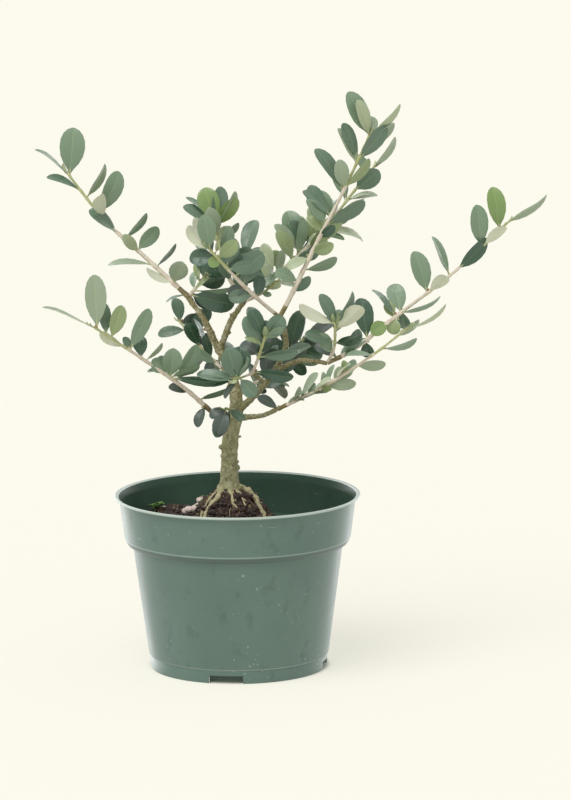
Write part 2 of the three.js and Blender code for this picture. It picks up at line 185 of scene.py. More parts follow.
# The size of a spray's leaves as a share of the rule's.
FINER = {Spray.SHADED: 0.84, Spray.MIXED: 0.88, Spray.OUTER: 1.0, Spray.FRESH: 0.9, Spray.PALE: 1.0}

Tone = IntEnum("Tone", "DEEP DUSK SLATE SAGE GREY OLIVE FRESH PALE", start=0)
DEEP, DUSK, SLATE, SAGE, GREY, OLIVE, FRESH, PALE = Tone


@dataclass(frozen=True)
class Posed:
    """A posed leaf: its share of the stem, its lean from the right up over the top, its length
    and width, the turn of its face from the front, its tone, and how far it leans to the front."""

    at: float
    lean: float
    length: float
    width: float
    turn: float
    tone: Tone
    toward: float = 0.0


@dataclass(frozen=True)
class Shoot:
    """A leafy stem: its course and thickness, the rule's leaves and their tones, how small the leaves
    between the pairs are, the posed leaves, and up to what share the rule's leaves stay."""

    course: tuple[Place, ...]
    radii: tuple[float, ...]
    leafing: Leafing
    spray: Spray
    small: float = 0.62
    posed: tuple[tuple[float, ...], ...] = ()
    ruled: float = 0.0


@dataclass(frozen=True)
class Mass:
    """The shoots that start together from one limb."""

    carrier: str
    shoots: tuple[Shoot, ...]
    at: float = 1.0


@dataclass(frozen=True)
class Bough:
    """A limb of old wood and the place on its parent where it starts."""

    parent: str
    at: float
    course: tuple[Place, ...]
    radii: tuple[float, ...]


TRUNK_START = (-5.0, 0.0, 110.0)
TRUNK_COURSE = ((-4, 0, 142), (0, 2, 166), (-6, 4, 190), (-11, 5, 198))
TRUNK_RADII = (5.4, 5.1, 4.9, 3.4, 2.6)
TRUNK_FLARE = (3.0, 4.0)

BOUGHS = {
    "bough_upper_left": Bough("trunk", 1.0, ((-19, 6, 215), (-29, 8, 230)), (2.3, 1.7)),
    "bough_upper_centre": Bough("trunk", 0.98, ((-6, 3, 208), (-2, 3, 217), (5, 4, 227)), (2.1, 1.6)),
    "bough_right_centre": Bough(
        "trunk", 0.53, ((15, -1, 174), (26, -3, 189), (31, -4, 203), (27, -6, 219)), (2.4, 1.8, 1.6)
    ),
    "bough_right_side": Bough("bough_right_centre", 0.5, ((39, -7, 192), (56, -10, 191)), (1.7, 1.4)),
    "bough_right_low": Bough("trunk", 0.5, ((16, -6, 158), (26, -11, 163)), (1.8, 1.3)),
    "bough_left_low": Bough("trunk", 0.48, ((-10, -3, 158), (-16, -5, 161)), (1.9, 1.5)),
    "bough_front": Bough("bough_right_centre", 0.36, ((14, -9, 182), (10, -16, 186)), (1.2, 1.0)),
    "bough_back_right": Bough("trunk", 0.65, ((7, 18, 171),), (1.3, 1.1)),
    "bough_back_left": Bough("trunk", 0.78, ((-9, 16, 184),), (1.3, 1.1)),
}

# A posed row holds what Posed does, in the same order.
# The posed tones are darker on inner and back shoots, partly as painted shade.
FOLIAGE = {
    "foliage_left_low": Mass("bough_left_low", shoots=(
        Shoot(((-32, -13, 177), (-54, -24, 195), (-85, -44, 220)), (1.5, 0.6),
              Leafing(1, length=30, spacing=16, phase=45), Spray.OUTER, posed=(
            (0.98, 92, 33, 12, 8, GREY), (1, 154, 34, 8, 84, GREY), (0.9, 96, 21, 8.4, 35, SLATE, -15),
            (0.86, 71, 21, 8.8, 15, OLIVE), (0.74, 151, 18, 6.4, 215, PALE), (0.7, 112, 9, 5, 30, SLATE),
            (0.7, 63, 28, 9.2, 25, SAGE), (0.6, 98, 15, 8.4, 15, DEEP, -25), (0.565, 43, 15, 6, 66, GREY),
            (0.44, 180, 8, 3.5, 55, SAGE), (0.405, 126, 12.5, 8, 10, SAGE, 20),
            (0.4, 100, 12, 8.4, 25, SLATE, -20), (0.36, 82, 21, 11, 8, SAGE, 25),
            (0.31, 56, 27, 8.6, 20, SAGE, -20), (0.36, 23, 21, 7.8, 55, SAGE, 20),
            (0.355, -3, 36, 7.4, 40, DEEP, 15), (0.19, 162, 13.5, 6, 30, DUSK),
            (0.11, 22, 22, 7, 62, SLATE, 25), (0.05, 247, 14, 6.4, 30, DUSK, 20),
        )),
    )),
    "foliage_right_low": Mass("bough_right_low", shoots=(
        Shoot(((54, -23, 179), (84, -38, 201), (103, -50, 218)), (1.3, 0.6),
              Leafing(2, length=22, spacing=10, angle=35), Spray.OUTER, posed=(
            (1, 28, 29, 7, 70, PALE), (0.92, 34, 17.5, 6.8, 50, GREY), (0.79, 12, 22.5, 8, 62, SAGE),
            (0.72, 174, 17, 6, 60, SAGE, 20), (0.585, 2, 18, 7.2, 30, GREY), (0.5, 98, 8, 4, 20, OLIVE),
            (0, 145, 16, 6.4, 35, DUSK, 20),
        ), ruled=0.48),
    )),
    "foliage_leader": Mass("bough_right_centre", shoots=(
        Shoot(((32, -5, 228), (51, 4, 265), (65, 9, 291), (83, 12, 328)), (1.6, 0.8),
              Leafing(3, spacing=11), Spray.PALE, posed=(
            (1, 114, 30, 11.6, 20, SAGE), (1, 106, 24, 8.2, 30, PALE, 10),
            (0.99, 79, 15, 7.4, 10, GREY, -30), (0.985, 44, 29, 8, 60, PALE),
            (0.87, 50, 27.5, 9.4, 28, SLATE), (0.93, 36, 25, 7.2, 40, GREY, -10),
            (0.85, 114, 24.5, 8, 50, GREY), (0.875, 111, 24, 8.2, 35, SLATE),
            (0.7, 121, 31, 9.2, 35, SLATE), (0.715, 101, 19.5, 8.6, 10, GREY, 20),
            (0.72, 47, 23, 8, 50, OLIVE), (0.56, 134, 23, 8, 45, SLATE), (0.52, 127, 20, 8, 35, SAGE, 15),
            (0.51, 29, 28, 9.2, 35, SLATE), (0.44, 37, 12, 6, 20, DEEP),
            (0.36, 25, 16, 7.6, 15, OLIVE, 30), (0.26, 17, 22, 7.6, 45, SAGE),
            (0.47, 130, 14, 6, 20, OLIVE, -20), (0.33, 200, 16, 6.6, 30, PALE, 20),
            (0.2, 150, 17, 7.4, 25, SAGE, 25), (0.14, 35, 15, 7, 30, SLATE, -20),
        )),
    )),
    "foliage_centre_front": Mass("bough_right_centre", shoots=(
        Shoot(((9, -12, 236), (-15, -25, 264)), (1.3, 0.7),
              Leafing(4, length=30, spacing=16, phase=45), Spray.MIXED, posed=(
            (1, 134, 20, 8, 206, PALE), (1, 98, 23, 10.4, 10, SAGE, 15),
            (0.88, 42, 16.5, 8.4, 15, OLIVE, 15), (0.9, 183, 17, 9.6, 15, DEEP, -10),
            (0.82, 172, 9, 6.4, 12, FRESH, 25), (0.72, 14, 16.5, 7.8, 20, SLATE, 15),
            (0.62, 36, 23, 11.4, 12, SLATE, -15), (0.95, 120, 18, 8.4, 25, DEEP, -20),
            (0.55, 100, 20, 9.4, 20, DEEP, -20), (0.5, 60, 18, 8.8, 20, SLATE, -25),
            (0.45, 200, 13, 7.4, 20, DUSK, -20), (0.3, 80, 15, 7.4, 20, DEEP, -25),
            (0.35, 185, 15, 8, 12, SLATE, 10), (0.75, 75, 19, 9, 20, SLATE, -15),
        )),
    )),
    "foliage_right_spray": Mass("bough_right_side", shoots=(
        Shoot(((71, -7, 198), (97, 5, 216), (135, 21, 242), (168, 35, 270)), (1.4, 0.7),
              Leafing(5, spacing=15, phase=45), Spray.OUTER, posed=(
            (1, 32, 30, 8.6, 60, GREY), (0.86, 44, 20, 6.8, 208, PALE, 20),
            (0.955, 98, 27, 10.6, 14, FRESH), (0.845, 95, 26.5, 10.9, 18, SAGE),
            (0.7, 42, 27.5, 9.4, 30, DEEP, -15), (0.66, 111, 26.5, 8.6, 55, SAGE),
            (0.535, 107, 27, 11.2, 18, SAGE), (0.545, 45, 18.5, 7.4, 198, PALE, 30),
            (0.39, 104, 20, 10.6, 10, SAGE, -30), (0.4, 278, 13, 8, 20, SLATE, -20),
            (0.36, 127, 22, 7.6, 62, SLATE), (0.35, 111, 11, 6.4, 15, OLIVE, -15),
            (0.36, 262, 11, 8, 10, OLIVE, 15), (0.385, 19, 27, 7.2, 66, SAGE),
            (0.32, 205, 14, 8.4, 10, FRESH, 35), (0.2, 98, 26, 11.2, 16, DEEP, -15),
            (0.19, 282, 12, 7.6, 15, DEEP, -15), (0.22, 208, 22, 7, 42, SAGE, 20),
            (0.08, 60, 20, 8, 35, SLATE, 20), (0.05, 150, 17, 7, 30, DUSK, -20),
        )),
        Shoot(((60, -13, 200), (61, -21, 217)), (1.1, 0.6),
              Leafing(6, length=24, spacing=10), Spray.PALE, posed=(
            (1, 152, 27, 7.5, 212, PALE, 15), (0.85, 42, 24, 9.6, 200, PALE, 15),
            (1, 115, 20.5, 8, 25, SLATE), (1, 59, 22.5, 8, 55, SLATE), (0.55, 160, 20, 8, 30, SLATE, 20),
            (0.5, 20, 18, 8, 40, DEEP, 20), (0.25, 120, 17, 7.6, 20, SAGE, 25),
            (0.75, 75, 16, 8, 10, SAGE, -25),
        )),
    )),
    "foliage_upper_left": Mass("bough_upper_left", shoots=(
        Shoot(((-58, 22, 255), (-80, 31, 274), (-102, 40, 301)), (1.6, 0.7),
              Leafing(7, spacing=14, phase=45), Spray.OUTER, posed=(
            (1, 84, 30, 14.2, 8, SAGE), (1, 138, 27, 8, 82, SLATE), (0.89, 154, 23, 8, 62, SLATE),
            (0.84, 58, 24, 7.5, 55, GREY), (0.72, 63, 29, 11.5, 28, SAGE),
            (0.68, 98, 23, 8.5, 200, PALE, 38), (0.56, 137, 23, 9, 45, SLATE), (0.51, 46, 21, 7, 58, SAGE),
            (0.4, 130, 17.5, 6.6, 15, PALE, 35), (0.41, 47, 19, 8.8, 20, SAGE),
            (0.28, 176, 28, 8, 66, GREY), (0.26, 46, 19, 6.6, 68, SLATE), (0.12, 153, 19, 7.5, 232, PALE),
            (0.12, 69, 20, 10.6, 10, GREY, 40), (0.02, 197, 13, 4.5, 70, SLATE),
        )),
        Shoot(((-20, 15, 240), (-12, 25, 255)), (1, 0.5),
              Leafing(8, spacing=11), Spray.MIXED, posed=(
            (0.05, -14, 28, 12, 10, DEEP), (0.15, 3, 26, 4.6, 58, SAGE, 20),
            (0.1, -38, 16, 8, 20, DUSK, -15), (0.3, 10, 18, 9, 20, DEEP, -20),
        ), ruled=1),
    )),
    "foliage_upper_centre": Mass("bough_upper_centre", shoots=(
        Shoot(((-4, 9, 242), (-9, 15, 259), (-13, 20, 273)), (1.4, 0.7),
              Leafing(9), Spray.FRESH, posed=(
            (0.99, 103, 24, 12.2, 8, FRESH, -12), (0.98, 50, 23, 9, 20, FRESH, 12),
            (0.95, 80, 27, 9.4, 15, SLATE, -20), (0.95, 58, 27, 7.6, 64, GREY, 10),
            (0.97, 143, 23, 8.4, 40, SLATE), (1, 132, 24, 6.4, 66, SLATE, -10),
            (0.86, 103, 20.5, 9.2, 8, GREY, 25), (0.78, 137, 23, 8.4, 212, PALE, 15),
            (0.84, 45, 11, 6.6, 15, PALE, 25), (0.8, 35, 17, 6.4, 50, SAGE, -15),
            (0.6, 77, 20, 7.8, 15, SAGE, 10), (0.55, 20, 19, 8.6, 25, SLATE, 10),
            (0.5, 165, 21, 9.6, 30, DEEP, 15), (0.35, 150, 20, 9, 25, DEEP, 10),
            (0.4, 40, 20, 9, 20, SAGE, 20), (0.3, 110, 18, 8.6, 15, SLATE, 25),
        )),
        Shoot(((7, 34, 239), (6, 50, 247)), (1.2, 0.6),
              Leafing(10, spacing=16, phase=45), Spray.SHADED),
    )),
    "foliage_upper_right": Mass("bough_upper_centre", shoots=(
        Shoot(((25, 20, 241), (49, 40, 260), (85, 66, 300)), (1.5, 0.7),
              Leafing(11, first=10, angle=55), Spray.OUTER, posed=(
            (0.36, 115, 22, 8, 20, OLIVE, 15), (0.42, 128, 26, 7, 35, GREY, 20),
            (0.43, 110, 27, 12.4, 10, SAGE, -10), (0.5, 134, 20, 8.6, 12, SLATE, 15),
            (0.53, 125, 13, 8, 15, OLIVE, 10), (0.28, 116, 14, 7.8, 15, OLIVE, 15),
            (0.22, 128, 22, 11.4, 12, SLATE, -10), (0.48, 25, 13, 7.8, 15, OLIVE, 20),
            (0.38, 15, 15, 6.8, 20, SLATE, 15), (0.66, 110, 20, 8, 20, SAGE, -15),
            (0.62, 30, 18, 8, 20, SLATE, -15), (1, 50, 25, 8, 60, GREY),
            (0.86, 41, 20, 11.2, 10, SLATE, 15), (0.97, 120, 15, 6.4, 35, SAGE, 20),
        ), ruled=0.8),
        Shoot(((18, 7, 233), (32, 3, 246)), (1, 0.5),
              Leafing(12, angle=55), Spray.PALE),
    )),
    "foliage_front": Mass("bough_front", shoots=(
        Shoot(((13, -19, 194), (18, -26, 210)), (1, 0.6),
              Leafing(13, length=30, angle=60), Spray.MIXED, posed=(
            (1, 117, 21, 8, 15, DEEP), (1, 48, 17, 10.4, 10, SLATE), (0.95, 32, 14, 6, 35, SAGE, 15),
            (0.72, 116, 22, 9.8, 12, SLATE, 10), (0.8, 152, 12.5, 4, 40, OLIVE, 20),
            (0.45, 8, 25, 7, 30, SLATE, 15), (0.05, -8, 25, 7.8, 25, DEEP, 10),
            (0.6, -20, 13, 8.6, 20, DUSK, -20), (0.9, 80, 13, 7.6, 20, DEEP, -20),
            (0.5, 150, 14, 8.4, 15, DUSK, -20), (0.3, 60, 16, 8, 20, DEEP, -25),
        )),
        Shoot(((1, -24, 184),), (0.9, 0.5),
              Leafing(14, length=30, spacing=10), Spray.SHADED, posed=(
            (1, 107, 21, 12.6, 8, SLATE, 15), (1, 84, 20, 12.6, 10, DEEP),
            (0.95, 64, 17, 4.8, 62, SAGE, 25), (0.85, -47, 15, 8.6, 12, SLATE, 20),
            (1, 171, 25, 7.4, 30, SLATE), (1, -127, 14.5, 4.4, 40, DUSK),
            (0.9, 188, 22, 7.4, 30, DEEP, -10),
        )),
    )),
    "foliage_back_right": Mass("bough_back_right", shoots=(
        Shoot(((18, 32, 176), (40, 60, 192)), (1.1, 0.6),
              Leafing(15, length=30, angle=60), Spray.SHADED, posed=(
            (1, 0, 13, 9, 10, DUSK), (0.95, -30, 17, 10, 15, DEEP), (0.6, 100, 15, 9.6, 20, DEEP),
            (0.7, 30, 15, 9.4, 20, DUSK), (0.35, -32, 13, 5.4, 25, DUSK), (0.15, -50, 9, 4.4, 20, DUSK),
            (0.5, -70, 14, 6.4, 30, DUSK), (0.8, -60, 17, 7.8, 20, DEEP), (0.45, 20, 15, 8.6, 20, DEEP),
            (0.85, 110, 16, 9, 20, DEEP), (0.3, 80, 15, 9, 20, DUSK),
        ), ruled=1),
    )),
    "foliage_back_left": Mass("bough_back_left", shoots=(
        Shoot(((-18, 30, 190), (-35, 56, 206)), (1.1, 0.6),
              Leafing(16, length=30, angle=60), Spray.SHADED, posed=(
            (1, 8, 13, 8.8, 12, DUSK), (0.85, 188, 18, 6.8, 25, SLATE), (0.6, 15, 10, 7.8, 10, DUSK),
            (0.5, 120, 17, 8.4, 30, DEEP), (0.75, 60, 14, 8.4, 25, DEEP, -20),
            (0.35, 200, 14, 7.8, 25, DEEP), (1, 100, 16, 8, 30, SLATE, -20), (0.25, -100, 10, 6, 20, DUSK),
            (0.9, 30, 20, 9, 20, DEEP, -10),
        ), ruled=0.45),
    )),
    "foliage_trunk_tuft": Mass("trunk", at=0.55, shoots=(
        Shoot(((-6, -15, 164),), (0.9, 0.6),
              Leafing(17, length=22, first=2), Spray.SHADED, posed=(
            (1, 250, 17, 9.2, 8, DUSK, 15), (0.6, 238, 20, 8.6, 15, DEEP, 30),
            (0.9, 200, 12, 6.4, 30, DUSK, 10), (0.8, 330, 12, 6, 30, SLATE, 20),
        )),
    )),
}


# ---------------------------------------------------------------- limbs


def smooth_course(places: Sequence[Sequence[float]], step: float) -> np.ndarray:
    """Runs a centripetal Catmull-Rom curve through places.

    Args:
        places: The places, from first to last.
        step: About how far apart the curve's points are.

    Returns:
        Points on the curve, evenly spaced.
    """
    spots = np.array(places, float)
    ends = [2 * spots[0] - spots[1], *spots, 2 * spots[-1] - spots[-2]]
    line = [spots[:1]]
    shares = np.linspace(0, 1, 41)[1:, None]
    for before, here, there, after in zip(ends, ends[1:], ends[2:], ends[3:]):
        left, middle, right = (
            math.sqrt(np.linalg.norm(far - near))
            for near, far in ((before, here), (here, there), (there, after)))
        away = (here - before) / left - (there - before) / (left + middle) + (there - here) / middle
        home = (there - here) / middle - (after - here) / (middle + right) + (after - there) / right
        line.append(
            (2 * shares**3 - 3 * shares**2 + 1) * here + (shares**3 - 2 * shares**2 + shares) * middle * away
            + (3 * shares**2 - 2 * shares**3) * there + (shares**3 - shares**2) * middle * home)
    fine = np.concatenate(line)
    travelled = np.concatenate([[0.0], np.cumsum(np.linalg.norm(np.diff(fine, axis=0), axis=1))])
    stops = np.linspace(0, travelled[-1], math.ceil(travelled[-1] / step) + 1)
    return np.stack([np.interp(stops, travelled, fine[:, axis]) for axis in range(3)], axis=1)


def curling_course(heading: float, turn: float, length: float) -> list[np.ndarray]:
    """Lays a level line out from the trunk's foot whose heading turns evenly.

    Args:
        heading: The heading at its start.
        turn: How far the heading turns over its length.
        length: How far it reaches.

    Returns:
        Three places along it.
    """
    places = []
    for share in (1 / 3, 2 / 3, 1):
        towards = math.radians(heading + turn * share / 2)
        away = np.array([math.cos(towards), math.sin(towards), 0])
        places.append(np.array(TRUNK_START) + away * length * share)
    return places


class Limb:
    """A tapering limb's centre line, with its radius along it."""

    def __init__(self, start: Sequence[float], course: Sequence[Sequence[float]], radii: Sequence[float],
                 flare: Span = (0.0, 1.0)) -> None:
        """Lays the centre line down.

        Args:
            start: Where the limb begins.
            course: The places that it runs through after that.
            radii: Its radii, spread evenly over its length.
            flare: How much wider the foot is, and over what length that fades.
        """
        self.points = smooth_course([start, *course], 2.0)
        moves = np.linalg.norm(np.diff(self.points, axis=0), axis=1)
        self.distances = np.concatenate([[0.0], np.cumsum(moves)])
        self.length = float(self.distances[-1])
        self.radii = radii
        self.flare = flare

    def point_at(self, distance: float) -> np.ndarray:
        """Returns the centre line's point that far along."""
        return np.array([np.interp(distance, self.distances, self.points[:, axis]) for axis in range(3)])

    def distance_to(self, point: np.ndarray) -> float:
        """Returns how far along the limb its centre line comes nearest to a point."""
        return float(self.distances[np.linalg.norm(self.points - point, axis=1).argmin()])

    def radius_at(self, distance: float) -> float:
        """Returns the limb's radius that far along."""
        plain = np.interp(distance, np.linspace(0, self.length, len(self.radii)), self.radii)
        return float(plain) + self.flare[0] * math.exp(-distance / self.flare[1])

    def direction_at(self, distance: float, reach: float) -> np.ndarray:
        """Returns the limb's direction, taken over a reach on both sides of a place."""
        ahead = self.point_at(min(distance + reach, self.length))
        return unit(ahead - self.point_at(max(distance - reach, 0.0)))

    def strand(self, count: int) -> Strand:
        """Returns the places that divide the limb into a number of equal stretches, and the radii there."""
        spots = [self.length * index / count for index in range(count + 1)]
        return np.array([self.point_at(spot) for spot in spots]), [self.radius_at(spot) for spot in spots]

    def probes(self) -> Strand:
        """Returns places and radii about 2 mm apart."""
        return self.strand(math.floor(self.length / 2) + 1)


def grow_limbs() -> dict[str, Limb]:
    """Lays down the trunk and the boughs.

    Returns:
        Each limb under its node's name.
    """
    limbs = {"trunk": Limb(TRUNK_START, TRUNK_COURSE, TRUNK_RADII, TRUNK_FLARE)}
    for name, bough in BOUGHS.items():
        parent = limbs[bough.parent]
        limbs[name] = Limb(parent.point_at(parent.length * bough.at), bough.course, bough.radii)
    return limbs


# ---------------------------------------------------------------- leaves


@dataclass(frozen=True)
class Leaf:
    """One leaf: where it is rooted, which way it points and faces, its size, bow, tone, twist and fold."""

    root: np.ndarray
    out: np.ndarray
    across: np.ndarray
    face: np.ndarray
    length: float
    width: float
    cup: float
    tone: int = 0
    twist: float = 0.0
    fold: float = 0.2

    def at(self, along: float, sideways: float) -> np.ndarray:
        """Returns a place on the flat blade, along and to one side as shares of its size."""
        bow = self.cup * self.length * math.sin(math.pi * along)
        spot = self.root + self.out * along * self.length + self.face * bow
        return spot + self.across * sideways * self.width

    def sized(self, scale: float) -> Leaf:
        """Returns the same leaf, larger or smaller."""
        return replace(self, length=self.length * scale, width=self.width * scale)


def turned_side(out: np.ndarray, light: Place, turned: float) -> np.ndarray:
    """Returns a leaf's side when it turns its face to a light and then by an angle about its own line."""
    lit = unit(np.array(light) - np.array(light).dot(out) * out)
    return math.cos(turned) * np.cross(lit, out) + math.sin(turned) * lit


@dataclass(frozen=True)
class LeafRule:
    """The rule that places opposite pairs of leaves and keeps them off their neighbours."""

    tip_angle: float = 0.65
    tip_length: float = 1.15
    roll_spread: float = 18.0
    angle_spread: float = 20.0
    lengths: Span = (0.82, 1.18)
    widths: Span = (0.88, 1.12)
    cups: Span = (-0.035, 0.065)
    reach: float = 3.0
    light: Place = (0.0, -0.6, 0.8)
    shrink: tuple[float, ...] = (1.0, 0.85, 0.7, 0.55)
    limb_clearance: float = 0.8
    mass_clearance: float = 1.2
    probes: tuple[Span, ...] = ((0.3, 0.36), (0.5, 0.5), (0.68, 0.5), (0.85, 0.36), (1, 0))
    twists: float = 24.0
    folds: Span = (0.14, 0.44)
    posed_light: Place = (0.0, -1.0, 0.15)
    posed_width: float = 1.12
    posed_cups: Span = (-0.03, 0.06)
    posed_twists: float = 30.0
    posed_folds: Span = (0.16, 0.46)

    def place(self, limb: Limb, leafing: Leafing, palette: Sequence[int]) -> list[Leaf]:
        """Lists a shoot's leaves before any is shortened or left out.

        Args:
            limb: The shoot's stem.
            leafing: How its leaves sit.
            palette: The tones that its leaves are dealt.

        Returns:
            The leaves, in pairs from the foot up.
        """
        numbers = random_numbers(leafing.seed)
        looks = random_numbers(leafing.seed + 5000)
        pairs = max(1, math.floor((limb.length - leafing.first) / leafing.spacing + 0.5) + 1)
        step = (limb.length - leafing.first) / (pairs - 1) if pairs > 1 else 0.0
        leaves = []
        for pair in range(pairs):
            distance = min(leafing.first + pair * step, limb.length - 0.3)
            along = limb.direction_at(distance, self.reach)
            side = unit(np.cross(along, UP))
            other = np.cross(along, side)
            shorter, closer = (self.tip_length, self.tip_angle) if pair == pairs - 1 else (1.0, 1.0)
            grown = shorter * (leafing.young + (1 - leafing.young) * (pair + 1) / pairs)
            for half in (0, 180):
                roll = math.radians(
                    leafing.phase + 90 * pair + half + self.roll_spread * (2 * next(numbers) - 1))
                opening = math.radians(
                    closer * leafing.angle + self.angle_spread * (2 * next(numbers) - 1))
                size = leafing.length * grown * within(self.lengths, next(numbers))
                turned = math.radians(leafing.twist * (2 * next(numbers) - 1))
                plump = next(numbers)
                out = math.cos(opening) * along + math.sin(opening) * (
                    math.cos(roll) * side + math.sin(roll) * other)
                out = unit(out + leafing.upturn * UP)
                across = turned_side(out, self.light, turned)
                leaves.append(Leaf(
                    limb.point_at(distance), out, across, np.cross(out, across), size,
                    size * leafing.width * within(self.widths, plump), within(self.cups, plump),
                    palette[int(next(looks) * len(palette)) % len(palette)],
                    self.twists * (2 * next(looks) - 1), within(self.folds, next(looks))))
        return leaves

    def fine_leaves(self, limb: Limb, shoot: Shoot, palette: Sequence[int]) -> list[Leaf]:
        """Lists a shoot's leaves in their true sizes, with small ones between the pairs.

        Args:
            limb: The shoot's stem.
            shoot: The shoot.
            palette: The tones that its leaves are dealt.

        Returns:
            The leaves.
        """
        leafing = shoot.leafing
        leaves = self.place(limb, leafing, palette)
        finer = [leaf.sized(FINER[shoot.spray]) for leaf in leaves[:-2]] + leaves[-2:]
        between = replace(
            leafing, first=leafing.first + leafing.spacing / 2, length=leafing.length * shoot.small,
            angle=leafing.angle * 1.15, phase=leafing.phase + 45, seed=leafing.seed + 7000)
        if between.first < limb.length:
            finer += self.place(limb, between, palette)[:-2]
        return finer

    def posed_leaf(self, limb: Limb, posed: Posed, numbers: Iterator[float]) -> Leaf:
        """Places a posed leaf.

        Args:
            limb: The shoot's stem.
            posed: Where it sits and how it is turned.
            numbers: Where its bow, twist and fold come from.

        Returns:
            The leaf.
        """
        lean, toward, turned = (math.radians(value) for value in (posed.lean, posed.toward, posed.turn))
        out = np.array([
            math.cos(toward) * math.cos(lean), -math.sin(toward), math.cos(toward) * math.sin(lean)])
        across = turned_side(out, self.posed_light, turned)
        return Leaf(
            limb.point_at(posed.at * limb.length), out, across, np.cross(out, across), posed.length,
            posed.width * self.posed_width, within(self.posed_cups, next(numbers)), int(posed.tone),
            self.posed_twists * (2 * next(numbers) - 1), within(self.posed_folds, next(numbers)))

    def fits(self, leaf: Leaf, wood: Strand, own: np.ndarray, others: np.ndarray) -> bool:
        """Tells whether a leaf stays in its mass's space and off every limb.

        Args:
            leaf: The leaf.
            wood: Points on the limbs' centre lines, and the radii there.
            own: Points on the centre lines of the leaf's own mass.
            others: Points on those of the other masses.

        Returns:
            True if it fits.
        """
        spots = np.array([
            leaf.at(along, sideways)
            for along, half in self.probes for sideways in ((0, half, -half) if half else (0,))])

        def gaps(points: np.ndarray) -> np.ndarray:
            """Returns the distance from each of the leaf's spots to each point."""
            return np.linalg.norm(spots[:, None] - points[None], axis=2)

        clear = (gaps(wood[0]) - np.array(wood[1])[None]).min(axis=1) > self.limb_clearance
        inside = gaps(others).min(axis=1) - gaps(own).min(axis=1) > self.mass_clearance
        return bool(clear.all() and inside.all())


@dataclass
class GrownShoot:
    """A shoot's stem with the leaves that found room on it."""

    limb: Limb
    shoot: Shoot
    leaves: list[Leaf] = field(default_factory=list)


def grow_foliage(limbs: dict[str, Limb], rule: LeafRule) -> dict[str, list[GrownShoot]]:
    """Grows every mass's shoots and leaves.

    Args:
        limbs: The trunk and the boughs.
        rule: The rule that places leaves.

    Returns:
        The grown shoots under each mass's name.
    """
    grown: dict[str, list[GrownShoot]] = {}
    for name, mass in FOLIAGE.items():
        carrier = limbs[mass.carrier]
        start = carrier.point_at(carrier.length * mass.at)
        grown[name] = [GrownShoot(Limb(start, shoot.course, shoot.radii), shoot) for shoot in mass.shoots]
    points, radii = zip(*(limb.probes() for limb in limbs.values()))
    wood = (np.concatenate(points), [radius for row in radii for radius in row])
    lines = {
        name: np.concatenate([shoot.limb.probes()[0] for shoot in shoots]) for name, shoots in grown.items()}
    for name, shoots in grown.items():
        others = np.concatenate([line for other, line in lines.items() if other != name])
        for grown_shoot in shoots:
            limb, shoot = grown_shoot.limb, grown_shoot.shoot
            palette = [tone for tone, share in enumerate(shoot.spray.value) for _ in range(share)]
            numbers = random_numbers(shoot.leafing.seed + 3000)
            grown_shoot.leaves = [rule.posed_leaf(limb, Posed(*row), numbers) for row in shoot.posed]
            limit = shoot.ruled * limb.length if shoot.posed else math.inf
            for leaf in rule.fine_leaves(limb, shoot, palette):
                if limb.distance_to(leaf.root) > limit:
                    continue
                sizes = (leaf.sized(scale) for scale in rule.shrink)
                fitting = next((size for size in sizes if rule.fits(size, wood, lines[name], others)), None)
                if fitting is not None:
                    grown_shoot.leaves.append(fitting)
    return grown


# ---------------------------------------------------------------- mesh tools


